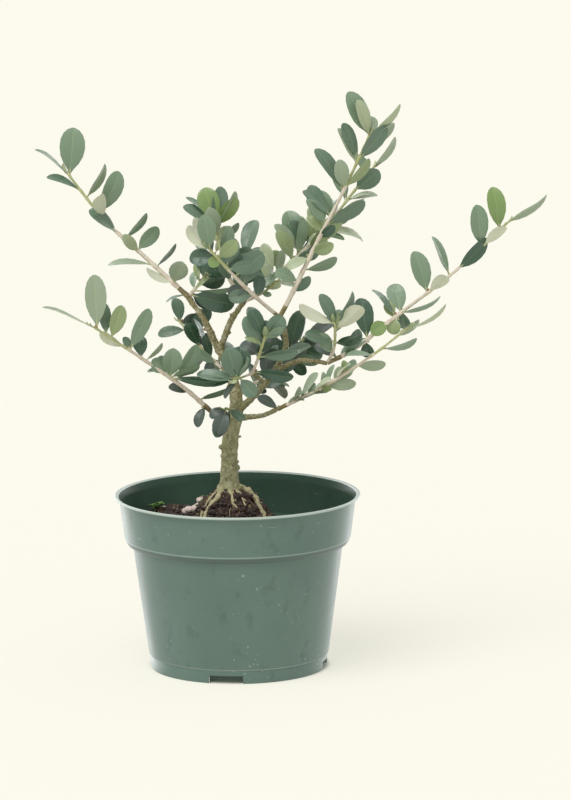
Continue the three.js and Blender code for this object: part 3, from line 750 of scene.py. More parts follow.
class Bench:
    """The modelling bench: thin wrappers round Blender's operators."""

    @staticmethod
    def clear_selection() -> None:
        """Leaves object mode with nothing selected."""
        if bpy.context.object and bpy.context.object.mode != "OBJECT":
            bpy.ops.object.mode_set(mode="OBJECT")
        bpy.ops.object.select_all(action="DESELECT")

    @classmethod
    def take(cls, *pieces: bpy.types.Object) -> None:
        """Selects some objects and nothing else, and makes the first the active one."""
        cls.clear_selection()
        for piece in pieces:
            piece.select_set(True)
        bpy.context.view_layer.objects.active = pieces[0]

    @staticmethod
    def named(name: str) -> bpy.types.Object:
        """Gives the active object and its data their name, and returns the object."""
        bpy.context.object.name = bpy.context.object.data.name = name
        return bpy.context.object

    @classmethod
    def settle(cls, piece: bpy.types.Object) -> bpy.types.Object:
        """Moves an object's place, turn and scale into its mesh, and returns it."""
        cls.take(piece)
        bpy.ops.object.transform_apply(location=True, rotation=True, scale=True)
        return piece

    @classmethod
    def modify(cls, piece: bpy.types.Object, kind: str, **settings: object) -> None:
        """Adds a modifier, sets it and applies it.

        Args:
            piece: The object.
            kind: The modifier's type.
            **settings: Its properties.
        """
        cls.take(piece)
        modifier = piece.modifiers.new(kind.lower(), kind)
        for key, value in settings.items():
            setattr(modifier, key, value)
        bpy.ops.object.modifier_apply(modifier=modifier.name)

    @classmethod
    def displace(cls, piece: bpy.types.Object, size: float, depth: float, middle: float,
                 **settings: object) -> None:
        """Raises and lowers a surface by soft clouds.

        Args:
            piece: The object.
            size: How large the clouds are.
            depth: How far they move the surface.
            middle: The cloud value that moves nothing.
            **settings: Other properties of the clouds.
        """
        clouds = bpy.data.textures.new("relief", "CLOUDS")
        clouds.noise_scale = size * MM
        for key, value in settings.items():
            setattr(clouds, key, value)
        cls.modify(piece, "DISPLACE", texture=clouds, strength=depth * MM, mid_level=middle)

    @classmethod
    def join(cls, pieces: Sequence[bpy.types.Object], name: str) -> bpy.types.Object:
        """Joins objects into the first one, which takes a name and is returned."""
        cls.take(*pieces)
        bpy.ops.object.join()
        return cls.named(name)

    @classmethod
    def spun_profile(cls, points: Sequence[Span], name: str, steps: int, rounded: float) -> bpy.types.Object:
        """Draws a profile point by point, rounds its corners and spins it round the Z axis.

        Args:
            points: Radius and height of each corner, from the axis round and back to the axis.
            name: The piece's name.
            steps: Facets round the axis.
            rounded: The corner radius.

        Returns:
            The closed piece.
        """
        cls.clear_selection()
        bpy.ops.mesh.primitive_plane_add(size=MM)
        piece = cls.named(name)
        bpy.ops.object.mode_set(mode="EDIT")
        bpy.ops.mesh.merge(type="CENTER")
        bpy.ops.transform.translate(value=(points[0][0] * MM, 0, points[0][1] * MM))
        for (radius, height), (next_radius, next_height) in zip(points, points[1:]):
            move = ((next_radius - radius) * MM, 0, (next_height - height) * MM)
            bpy.ops.mesh.extrude_region_move(TRANSFORM_OT_translate={"value": move})
        bpy.ops.mesh.select_all(action="SELECT")
        bpy.ops.mesh.bevel(
            affect="VERTICES", offset=rounded * MM, segments=2, clamp_overlap=True, offset_type="OFFSET")
        bpy.ops.mesh.select_all(action="SELECT")
        bpy.ops.mesh.spin(steps=steps, angle=2 * math.pi, center=(0, 0, 0), axis=(0, 0, 1))
        bpy.ops.mesh.select_all(action="SELECT")
        bpy.ops.mesh.remove_doubles(threshold=0.00001)
        bpy.ops.mesh.dissolve_degenerate(threshold=0.00001)
        bpy.ops.mesh.normals_make_consistent(inside=False)
        bpy.ops.object.mode_set(mode="OBJECT")
        return piece

    @classmethod
    def smooth(cls, piece: bpy.types.Object, angle: float) -> None:
        """Shades a piece smooth except where its faces meet more sharply than an angle."""
        cls.take(piece)
        bpy.ops.object.shade_smooth_by_angle(angle=math.radians(angle))

    @staticmethod
    def hand_in(piece: bpy.types.Object, slot: str, *replaced: str) -> None:
        """Gives a piece its body and hides the solids that it replaces.

        Args:
            piece: The finished piece.
            slot: Not used.
            *replaced: The solids' names.
        """
        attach(piece, "root")
        if replaced:
            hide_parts(*replaced)
        LOG.info("%s: %d faces", piece.name, len(piece.data.polygons))


def ring_faces(count: int, size: int, flipped: bool = False) -> list[tuple[int, ...]]:
    """Lists the faces of a row of rings: the first cap, the sides ring by ring, and the last cap.

    Args:
        count: How many rings there are.
        size: How many corners a ring has.
        flipped: Whether the rings run the other way round.

    Returns:
        The faces, by corner.
    """
    step = 1 if flipped else -1
    faces: list[tuple[int, ...]] = [tuple(range(size))[::step]]
    for base in range(0, (count - 1) * size, size):
        for side in range(size):
            after = (side + 1) % size
            quad = (base + side, base + after, base + size + after, base + size + side)
            faces.append(quad[:1] + quad[:0:-1] if flipped else quad)
    faces.append(tuple(range((count - 1) * size, count * size))[::-step])
    return faces


@dataclass
class Heap:
    """Vertices and faces gathered from many small shapes before they become one mesh."""

    points: list[np.ndarray] = field(default_factory=list)
    faces: list[tuple[int, ...]] = field(default_factory=list)
    finishes: list[int] = field(default_factory=list)
    count: int = 0

    def add(self, points: np.ndarray, faces: Iterable[tuple[int, ...]], finishes: Iterable[int]) -> None:
        """Adds one shape.

        Args:
            points: Its corners in millimetres.
            faces: Its faces, by corner.
            finishes: The material slot of each face.
        """
        self.points.append(points)
        self.faces.extend(tuple(corner + self.count for corner in face) for face in faces)
        self.finishes.extend(finishes)
        self.count += len(points)

    def add_tube(self, middles: np.ndarray, radii: Sequence[float], sides: int,
                 finishes: Sequence[int]) -> None:
        """Adds a closed tube through a row of points.

        Args:
            middles: The centre line's points.
            radii: The radius at each.
            sides: Facets round the tube.
            finishes: The material slot of each stretch between two points.
        """
        across = np.array([0.31, -0.95, 0.05])
        rings = []
        last = len(middles) - 1
        turns = 2 * math.pi * np.arange(sides) / sides
        for index, (middle, radius) in enumerate(zip(middles, radii)):
            along = unit(middles[min(index + 1, last)] - middles[max(index - 1, 0)])
            across = unit(across - across.dot(along) * along)
            up = np.cross(along, across)
            rings.append(middle + radius * (np.cos(turns)[:, None] * across + np.sin(turns)[:, None] * up))
        around = [finishes[min(ring, len(finishes) - 1)] for ring in range(last) for _ in range(sides)]
        self.add(
            np.concatenate(rings), ring_faces(last + 1, sides), [finishes[0], *around, finishes[-1]])

    def build(self, name: str, materials: Sequence[bpy.types.Material], angle: float) -> bpy.types.Object:
        """Makes the gathered shapes into one object.

        Args:
            name: The piece's name.
            materials: Its material slots.
            angle: The angle under which edges are shaded smooth.

        Returns:
            The object.
        """
        mesh = bpy.data.meshes.new(name)
        mesh.from_pydata((np.concatenate(self.points) * MM).tolist(), [], self.faces)
        for material in materials:
            mesh.materials.append(material)
        mesh.polygons.foreach_set("material_index", self.finishes)
        mesh.update()
        piece = bpy.data.objects.new(name, mesh)
        bpy.context.scene.collection.objects.link(piece)
        Bench.smooth(piece, angle)
        return piece


# ---------------------------------------------------------------- materials


class Wiring:
    """Adds nodes to one shader tree and wires them up."""

    def __init__(self, tree: bpy.types.NodeTree) -> None:
        """Takes the tree in hand."""
        self.nodes, self.links = tree.nodes, tree.links

    def node(self, kind: str, inputs: dict[Union[int, str], Input], **settings: object) -> bpy.types.Node:
        """Adds a node.

        Args:
            kind: Its type, without the words in front that all share.
            inputs: The socket that feeds each input, or its plain value, by name or number.
            **settings: The node's own properties.

        Returns:
            The node.
        """
        node = self.nodes.new("ShaderNode" + kind)
        for key, value in settings.items():
            setattr(node, key, value)
        for label, value in inputs.items():
            self.feed(node, label, value)
        return node

    def feed(self, node: bpy.types.Node, label: Union[int, str], value: Input) -> None:
        """Links a socket to one of a node's inputs, or sets the input to a plain value."""
        if isinstance(value, bpy.types.NodeSocket):
            self.links.new(value, node.inputs[label])
        else:
            node.inputs[label].default_value = value

    def maths(self, operation: str, *values: Input, clamp: bool = False) -> Socket:
        """Returns the result of one operation on sockets or numbers."""
        return self.node("Math", dict(enumerate(values)), operation=operation, use_clamp=clamp).outputs[0]

    def ramp(self, value: Input, low: Input, high: Input, start: Input = 0.0, end: Input = 1.0,
             kind: str = "SMOOTHSTEP") -> Socket:
        """Brings a number from one span to another.

        Args:
            value: The number.
            low: Where the first span starts.
            high: Where it ends.
            start: Where the second span starts.
            end: Where it ends.
            kind: How the numbers between are eased.

        Returns:
            The number in the second span.
        """
        inputs = {"Value": value, "From Min": low, "From Max": high, "To Min": start, "To Max": end}
        return self.node("MapRange", inputs, interpolation_type=kind).outputs["Result"]


class Effects:
    """Shader node groups that several materials share, each built once."""

    def __init__(self) -> None:
        """Builds the groups."""
        self.mottle = self._group(
            "cloudy mottle", {"Scale": 100, "From": 0.45, "To": 0.65, "Detail": 4}, "Mask", self._mottle)
        self.specks = self._group(
            "scattered specks", {"Scale": 300, "Size": 0.2, "Sparse": 0.55}, "Mask", self._specks)
        self.grain = self._group("rough grain", {"Scale": 400, "Pits": 0.3}, "Height", self._grain)

    @staticmethod
    def _group(name: str, numbers: dict[str, float], output: str,
               fill: Callable[[Wiring, bpy.types.NodeOutputs], Socket]) -> bpy.types.NodeTree:
        """Builds a group that takes a vector and some numbers and gives one number.

        Args:
            name: The group's name.
            numbers: Its number inputs and their usual values.
            output: The name of its output.
            fill: What adds the nodes between them.

        Returns:
            The group.
        """
        tree = bpy.data.node_groups.new(name, "ShaderNodeTree")
        tree.interface.new_socket("Vector", in_out="INPUT", socket_type="NodeSocketVector")
        for label, value in numbers.items():
            socket = tree.interface.new_socket(label, in_out="INPUT", socket_type="NodeSocketFloat")
            socket.default_value = value
        tree.interface.new_socket(output, in_out="OUTPUT", socket_type="NodeSocketFloat")
        result = fill(Wiring(tree), tree.nodes.new("NodeGroupInput").outputs)
        tree.links.new(result, tree.nodes.new("NodeGroupOutput").inputs[0])
        return tree

    @staticmethod
    def _mottle(wiring: Wiring, given: bpy.types.NodeOutputs) -> Socket:
        """Returns soft cloudy patches, as a mask from 0 to 1."""
        clouds = wiring.node("TexNoise", {label: given[label] for label in ("Vector", "Scale", "Detail")})
        return wiring.ramp(clouds.outputs["Fac"], given["From"], given["To"])

    @staticmethod
    def _specks(wiring: Wiring, given: bpy.types.NodeOutputs) -> Socket:
        """Builds scattered specks: small dots, kept only where a coarser noise is high.

        Args:
            wiring: What adds the nodes.
            given: The group's inputs.

        Returns:
            A mask from 0 to 1.
        """
        coarser, gain = 0.23, 8.0
        cells = wiring.node("TexVoronoi", {"Vector": given["Vector"], "Scale": given["Scale"]})
        dots = wiring.ramp(cells.outputs["Distance"], 0.0, given["Size"], 1.0, 0.0, "LINEAR")
        scale = wiring.maths("MULTIPLY", given["Scale"], coarser)
        patches = wiring.node("TexNoise", {"Vector": given["Vector"], "Scale": scale})
        kept = wiring.ramp(patches.outputs["Fac"], given["Sparse"], 1.0, kind="LINEAR")
        return wiring.maths("MULTIPLY", wiring.maths("MULTIPLY", dots, kept), gain, clamp=True)

    @staticmethod
    def _grain(wiring: Wiring, given: bpy.types.NodeOutputs) -> Socket:
        """Builds a rough surface's height from noise and shallow pits.

        Args:
            wiring: What adds the nodes.
            given: The group's inputs.

        Returns:
            The height.
        """
        spread = {"Vector": given["Vector"], "Scale": given["Scale"]}
        coarse = wiring.node("TexNoise", {**spread, "Detail": 5.0})
        cells = wiring.node("TexVoronoi", spread, feature="SMOOTH_F1")
        mixed = {0: given["Pits"], 2: coarse.outputs["Fac"], 3: cells.outputs["Distance"]}
        return wiring.node("Mix", mixed).outputs[0]


class Finish(Wiring):
    """One material under construction, with its shader, coordinates and effects."""

    def __init__(self, name: str, effects: Effects, colour: Colour, roughness: float) -> None:
        """Starts a material.

        Args:
            name: The material's name.
            effects: The shared node groups.
            colour: Its plain colour.
            roughness: Its plain roughness.
        """
        self.material = bpy.data.materials.new(name)
        self.material.use_nodes = True
        self.material.diffuse_color = linear(colour)
        super().__init__(self.material.node_tree)
        self.effects = effects
        self.shader = self.nodes["Principled BSDF"]
        self.colour: Input = linear(colour)
        self.vectors: dict[Place, Socket] = {}
        self.feed(self.shader, "Base Color", self.colour)
        self.feed(self.shader, "Roughness", roughness)

    def vector(self, stretch: Place = (1, 1, 1)) -> Socket:
        """Returns object coordinates, stretched along the axes."""
        if stretch not in self.vectors:
            place = self.node("TexCoord", {}).outputs["Object"]
            mapping = self.node("Mapping", {"Vector": place, "Scale": stretch})
            self.vectors[stretch] = mapping.outputs["Vector"]
        return self.vectors[stretch]

    def effect(self, group: bpy.types.NodeTree, stretch: Place = (1, 1, 1), **values: float) -> Socket:
        """Places a shared effect and returns what it gives."""
        inputs = {"Vector": self.vector(stretch), **values}
        return self.node("Group", inputs, node_tree=group).outputs[0]

    def height_mask(self, low: float, high: float) -> Socket:
        """Returns a mask that rises from 0 to 1 between two heights, in millimetres."""
        place = self.node("SeparateXYZ", {0: self.vector()})
        return self.ramp(place.outputs["Z"], low * MM, high * MM)

    def flipped(self, mask: Socket) -> Socket:
        """Returns a mask turned round, 1 where it was 0."""
        return self.maths("SUBTRACT", 1.0, mask)

    def band(self, low: float, high: float, soft: float = 0.25) -> Socket:
        """Returns a mask that is 1 between two heights, in millimetres, and fades past them."""
        return self.both(self.height_mask(low - soft, low), self.flipped(self.height_mask(high, high + soft)))

    def radial_mask(self, centre: Span, low: float, high: float) -> Socket:
        """Returns a mask that rises from 0 to 1 between two distances from an upright line."""
        location = (-centre[0] * MM, -centre[1] * MM, 0)
        flat = self.node("Mapping", {"Vector": self.vector(), "Location": location, "Scale": (1, 1, 0)})
        away = self.node("VectorMath", {0: flat.outputs["Vector"]}, operation="LENGTH")
        return self.ramp(away.outputs["Value"], low * MM, high * MM)

    def both(self, first: Socket, second: Socket) -> Socket:
        """Returns the product of two masks."""
        return self.maths("MULTIPLY", first, second, clamp=True)

    def tint(self, mask: Socket, colour: Colour, strength: float) -> None:
        """Lays a colour over the base colour where a mask is high.

        Args:
            mask: Where it goes.
            colour: The colour laid over.
            strength: How much of it there is at a mask of 1.
        """
        mixed = {0: self.maths("MULTIPLY", mask, strength), 6: self.colour, 7: linear(colour)}
        self.colour = self.node("Mix", mixed, data_type="RGBA").outputs[2]
        self.feed(self.shader, "Base Color", self.colour)

    def rough(self, mask: Socket, low: float, high: float) -> None:
        """Spreads the roughness between two values by a mask."""
        self.feed(self.shader, "Roughness", self.ramp(mask, 0.0, 1.0, low, high, "LINEAR"))

    def bump(self, height: Socket, depth: float, strength: float = 1.0) -> None:
        """Raises the surface by a height map, over any earlier relief.

        Args:
            height: The height map.
            depth: How deep it goes, in millimetres.
            strength: How much of it shows.
        """
        node = self.node("Bump", {"Distance": depth * MM, "Strength": strength, "Height": height})
        normal = self.shader.inputs["Normal"]
        if normal.is_linked:
            self.links.new(normal.links[0].from_socket, node.inputs["Normal"])
        self.links.new(node.outputs["Normal"], normal)


@dataclass(frozen=True)
class LeafTone:
    """The colours of one kind of leaf, on its upper side and underside, and its roughness."""

    name: str
    upper: Colour
    under: Colour
    roughness: float


LEAF_TONES = (
    LeafTone("deep", (56, 84, 62), (136, 150, 128), 0.36),
    LeafTone("dusk", (66, 80, 70), (122, 132, 114), 0.42),
    LeafTone("slate", (94, 118, 96), (164, 176, 152), 0.38),
    LeafTone("sage", (120, 143, 115), (184, 194, 166), 0.40),
    LeafTone("grey", (146, 162, 134), (200, 206, 182), 0.44),
    LeafTone("olive", (138, 154, 108), (188, 196, 156), 0.42),
    LeafTone("fresh", (124, 149, 88), (184, 196, 140), 0.40),
    LeafTone("pale", (166, 178, 144), (206, 210, 186), 0.48),
)


@dataclass(frozen=True)
class PotWearAndHighlights:
    """How shiny and how marked a side of the pot is, and the heights and strengths of the pale lines painted
    along its edges as highlights.
    """

    sheen: float = 0.5
    specks: float = 0.42
    # Painted highlights: pale lines on the lip's top, the collar's upper corner and the foot groove.
    edges: tuple[Place, ...] = ((106.6, 108.5, 0.62), (81.5, 81.9, 0.28), (8.2, 8.8, 0.45))


class Finishes:
    """Every material of the plant, its pot and its soil."""

    def __init__(self) -> None:
        """Builds them all."""
        self.effects = Effects()
        self.pot = self._pot("pot green plastic", (89, 114, 103), PotWearAndHighlights())
        # The inside is a darker copy of the same plastic, a painted shade, with a painted highlight on the
        # lip's top.
        self.pot_inside_painted_shade = self._pot(
            "pot inside painted shade green", (56, 81, 66), PotWearAndHighlights(0.1, 0.3, ((107.5, 108.5, 0.3),)))
        self.soil = self._soil()
        self.crumb = self._natural("soil crumb", (42, 31, 28), (82, 62, 50))
        self.grit = self._natural("yellow grit", (150, 138, 78), (196, 178, 128))
        self.fibre = self._natural("compost fibre", (176, 150, 98), (120, 92, 56))
        self.chip = self._natural("pale bark chip", (228, 212, 204), (186, 160, 148))
        self.moss = self._natural("moss sprig", (98, 134, 62), (66, 96, 42))
        self.bark = self._bark()
        self.rootlet = self._natural("fine root", (196, 176, 128), (150, 124, 84))
        self.twigs = [self._twig(*row) for row in (
            ("twig old wood", (116, 104, 66), (160, 148, 112)),
            ("twig pale skin", (214, 204, 186), (192, 178, 156)),
            ("twig green tip", (166, 172, 118), (196, 196, 158)),
            ("bud", (150, 92, 62), (116, 66, 46)),
        )]
        self.leaves = [material for tone in LEAF_TONES for material in self._leaf(tone)]

    def _mottle(self, finish: Finish, scale: float, low: float, high: float, detail: float,
                stretch: Place = (1, 1, 1)) -> Socket:
        """Returns cloudy patches on a finish: their scale, where they fade in, and their detail."""
        return finish.effect(
            self.effects.mottle, stretch, Scale=scale, From=low, To=high, Detail=detail)

    def _specks(self, finish: Finish, scale: float, size: float, sparse: float,
                stretch: Place = (1, 1, 1)) -> Socket:
        """Returns specks on a finish: their scale, their size and how sparse they are."""
        return finish.effect(self.effects.specks, stretch, Scale=scale, Size=size, Sparse=sparse)

    def _grain(self, finish: Finish, scale: float, pits: float, depth: float, strength: float,
               stretch: Place = (1, 1, 1)) -> None:
        """Raises a fine grain on a finish: its scale, its share of pits, its depth and its strength."""
        finish.bump(finish.effect(self.effects.grain, stretch, Scale=scale, Pits=pits), depth, strength)

    def _pot(self, name: str, colour: Colour, wear_and_highlights: PotWearAndHighlights) -> bpy.types.Material:
        """Builds moulded plastic with stains, scuffs, water marks, a band of painted shade under the collar,
        pale lines painted along the edges as highlights, and a fine grain.

        Args:
            name: The material's name.
            colour: The plastic's colour.
            wear_and_highlights: How marked it is, and where its painted highlights lie.

        Returns:
            The material.
        """
        finish = Finish(name, self.effects, colour, 0.4)
        clouds = self._mottle(finish, 20, 0.35, 0.7, 6)
        finish.tint(clouds, blend_colour(colour, (140, 160, 148), 0.4), 0.3)
        stains = self._mottle(finish, 110, 0.56, 0.74, 8, (1, 1, 0.7))
        finish.tint(stains, blend_colour(colour, (40, 60, 48), 0.6), 0.4)
        finish.tint(self._specks(finish, 250, 0.11, 0.54, (1, 1, 0.8)), (214, 226, 216), wear_and_highlights.specks)
        drops = finish.both(self._specks(finish, 260, 0.16, 0.47), finish.flipped(finish.height_mask(14, 60)))
        finish.tint(drops, (206, 220, 208), wear_and_highlights.specks)
        finish.tint(self._specks(finish, 90, 0.1, 0.57), (196, 210, 198), wear_and_highlights.specks)
        scuffs = self._mottle(finish, 260, 0.7, 0.78, 3, (0.35, 0.35, 3.2))
        finish.tint(scuffs, (206, 218, 206), 0.5 * wear_and_highlights.specks)
        # Painted shade: the collar's curved underside is darkened in a band from 77.2 to 80.6 mm.
        finish.tint(finish.band(77.2, 80.6), blend_colour(colour, (50, 66, 58), 0.7), 0.7)
        # Painted highlights: pale lines where light catches the lip, the collar's upper corner and the foot
        # groove.
        for low, high, strength in wear_and_highlights.edges:
            finish.tint(finish.band(low, high), (208, 220, 210), strength)
        finish.rough(clouds, 0.3, 0.42)
        self._grain(finish, 700, 0.2, 0.03, 0.35)
        finish.bump(stains, 0.05, 0.4)
        finish.feed(finish.shader, "Specular IOR Level", wear_and_highlights.sheen)
        return finish.material

    def _soil(self) -> bpy.types.Material:
        """Builds dark damp compost with mineral grains and rotted patches.

        Returns:
            The material.
        """
        finish = Finish("dark compost", self.effects, (44, 33, 26), 0.9)
        finish.tint(self._mottle(finish, 160, 0.4, 0.7, 6), (82, 60, 42), 0.6)
        finish.tint(self._mottle(finish, 420, 0.5, 0.7, 5), (24, 18, 16), 0.6)
        finish.tint(self._specks(finish, 520, 0.25, 0.5), (196, 176, 128), 0.7)
        self._grain(finish, 900, 0.6, 0.5, 0.9)
        return finish.material

    def _natural(self, name: str, colour: Colour, second: Colour) -> bpy.types.Material:
        """Builds a rough natural surface of two mottled colours.

        Args:
            name: The material's name.
            colour: The first colour.
            second: The colour of its patches.

        Returns:
            The material.
        """
        finish = Finish(name, self.effects, colour, 0.8)
        finish.tint(self._mottle(finish, 500, 0.42, 0.62, 4), second, 0.8)
        self._grain(finish, 1400, 0.4, 0.12, 0.7)
        return finish.material

    def _bark(self) -> bpy.types.Material:
        """Builds grey-olive bark, browner on the boughs and cream on the roots, with pale dots.

        Returns:
            The material.
        """
        finish = Finish("olive bark", self.effects, (164, 162, 120), 0.8)
        finish.tint(finish.height_mask(146, 190), (104, 92, 52), 0.75)
        for patches, colour, strength in (
                ((480, 0.46, 0.62, 6, (1, 1, 0.45)), (98, 92, 58), 0.55),
                ((1500, 0.5, 0.6, 4, (1, 1, 0.6)), (84, 80, 50), 0.5),
                ((260, 0.52, 0.68, 5), (190, 188, 160), 0.6),
                ((1900, 0.54, 0.62, 3), (214, 208, 176), 0.5),
                ((150, 0.5, 0.7, 3), (128, 130, 74), 0.4)):
            finish.tint(self._mottle(finish, *patches), colour, strength)
        roots = finish.radial_mask(TRUNK_START[:2], 8.0, 12.0)
        finish.tint(finish.both(roots, finish.flipped(finish.height_mask(112, 120))), (196, 184, 144), 0.6)
        finish.tint(self._specks(finish, 520, 0.3, 0.42), (196, 184, 146), 0.55)
        self._grain(finish, 900, 0.5, 0.25, 0.8, (1, 1, 0.5))
        return finish.material

    def _twig(self, name: str, colour: Colour, second: Colour) -> bpy.types.Material:
        """Builds young wood: a smooth skin with faint streaks.

        Args:
            name: The material's name.
            colour: The skin's colour.
            second: The streaks' colour.

        Returns:
            The material.
        """
        finish = Finish(name, self.effects, colour, 0.62)
        finish.tint(self._mottle(finish, 420, 0.42, 0.64, 4), second, 0.6)
        self._grain(finish, 1300, 0.2, 0.06, 0.6)
        return finish.material

    def _leaf(self, tone: LeafTone) -> list[bpy.types.Material]:
        """Builds one kind of leaf.

        Args:
            tone: Its colours.

        Returns:
            The materials of its upper side, midrib and underside.
        """
        rough = tone.roughness
        upper = Finish(f"leaf {tone.name} upper", self.effects, tone.upper, rough)
        upper.rough(self._mottle(upper, 330, 0.4, 0.66, 4), rough - 0.1, rough + 0.12)
        self._grain(upper, 700, 0.35, 0.22, 0.7)
        upper.feed(upper.shader, "Specular IOR Level", 0.6)
        rib_colour = blend_colour(tone.upper, (206, 214, 160), 0.2)
        rib = Finish(f"leaf {tone.name} midrib", self.effects, rib_colour, 0.5)
        under = Finish(f"leaf {tone.name} underside", self.effects, tone.under, 0.7)
        self._grain(under, 1500, 0.3, 0.06, 0.5)
        return [upper.material, rib.material, under.material]


# ---------------------------------------------------------------- pot


@dataclass(frozen=True)
class Pot:
    """The round nursery pot with its collar, rolled rim, foot band and drain channel."""

    height: float = 108.0
    rim_radius: float = 76.0
    foot_radius: float = 54.5
    wall: float = 1.7
    floor: float = 2.0
    collar_bottom: float = 77.0
    collar_top_radius: float = 73.0
    collar_bottom_radius: float = 70.2
    neck_radius: float = 64.9
    band_height: float = 8.0
    band_radius: float = 55.0
    groove: float = 0.8
    channel_inner: float = 41.0
    channel_outer: float = 52.4
    channel_depth: float = 6.2
    notch_width: float = 21.0
    notch_height: float = 5.0
    notch_reach: float = 12.0
    notch_count: int = 4
    first_notch: float = -98.2
    facets: int = 128
    corner: float = 0.35
    edge: float = 0.25

    def inner_wall(self) -> list[Span]:
        """Returns the inside's radius and height, from the channel's roof up to the lip."""
        return [
            (self.band_radius - self.wall, self.channel_depth + self.floor),
            (self.neck_radius - self.wall, self.collar_bottom + 1.4),
            (self.collar_bottom_radius - self.wall, self.collar_bottom + 5.5),
            (self.collar_top_radius - self.wall + 0.7, self.height - 5.0),
            (self.collar_top_radius + 0.5, self.height - 0.6),
        ]

    def inner_radius(self, height: float) -> float:
        """Returns the inside's radius at a height."""
        radii, heights = zip(*self.inner_wall())
        return float(np.interp(height, heights, radii))

    def profile(self) -> list[Span]:
        """Returns the wall's whole outline, from the axis under the floor round to the axis above it."""
        inner, outer, depth = self.channel_inner, self.channel_outer, self.channel_depth
        band, groove = self.band_height, self.groove
        under = [(0, 0), (inner, 0), (inner + 1, depth), (outer - 0.6, depth), (outer, 0)]
        outside = [
            (self.foot_radius, 0), (self.band_radius, band), (self.band_radius - 0.5, band + groove / 2),
            (self.band_radius + 0.7, band + groove), (self.neck_radius, self.collar_bottom),
            (self.collar_bottom_radius - 2.2, self.collar_bottom + 1),
            (self.collar_bottom_radius - 0.4, self.collar_bottom + 4),
            (self.collar_top_radius, self.height - 2.6), (self.collar_top_radius + 0.7, self.height - 1.9),
            (self.rim_radius - 0.7, self.height - 1.7), (self.rim_radius, self.height - 1.2),
            (self.rim_radius, self.height - 0.6), (self.rim_radius - 0.5, self.height - 0.1),
            (self.rim_radius - 1.2, self.height),
        ]
        plate = [(inner - 0.8, depth + self.floor), (inner - 1.8, self.floor), (0, self.floor)]
        return [*under, *outside, *reversed(self.inner_wall()), *plate]

    def _cut_notch(self, pot: bpy.types.Object, turn: float) -> None:
        """Cuts a drain notch through the foot on one heading."""
        spot = (self.foot_radius * math.cos(turn) * MM, self.foot_radius * math.sin(turn) * MM, 0)
        Bench.clear_selection()
        bpy.ops.mesh.primitive_cube_add(size=MM, location=spot, rotation=(0, 0, turn))
        cutter = Bench.named("notch_cutter")
        cutter.scale = (self.notch_reach, self.notch_width, 2 * self.notch_height)
        Bench.settle(cutter)
        Bench.modify(pot, "BOOLEAN", operation="DIFFERENCE", object=cutter, solver="EXACT")
        bpy.data.objects.remove(cutter)

    def build(self, finishes: Finishes) -> None:
        """Spins the wall, cuts the drain notches and softens the edges.

        Args:
            finishes: The materials.
        """
        pot = Bench.spun_profile(self.profile(), "pot_shell", self.facets, self.corner)
        for index in range(self.notch_count):
            self._cut_notch(pot, math.radians(self.first_notch + 360 * index / self.notch_count))
        Bench.modify(
            pot, "BEVEL", width=self.edge * MM, segments=2, limit_method="ANGLE",
            angle_limit=math.radians(40))
        pot.data.materials.clear()
        pot.data.materials.append(finishes.pot)
        pot.data.materials.append(finishes.pot_inside_painted_shade)
        # Inward faces of the wall take the darker inside material, which paints the shade inside the pot.
        for face in pot.data.polygons:
            radius, height = face.center.xy.length / MM, face.center.z / MM
            inward = face.normal.xy.dot(face.center.xy) < 0
            on_wall = radius > self.band_radius - 2 and self.floor < height < self.height - 0.9
            face.material_index = int(inward and on_wall)
        Bench.smooth(pot, 42)
        Bench.hand_in(pot, "pot_plastic", "pot")


# ---------------------------------------------------------------- soil


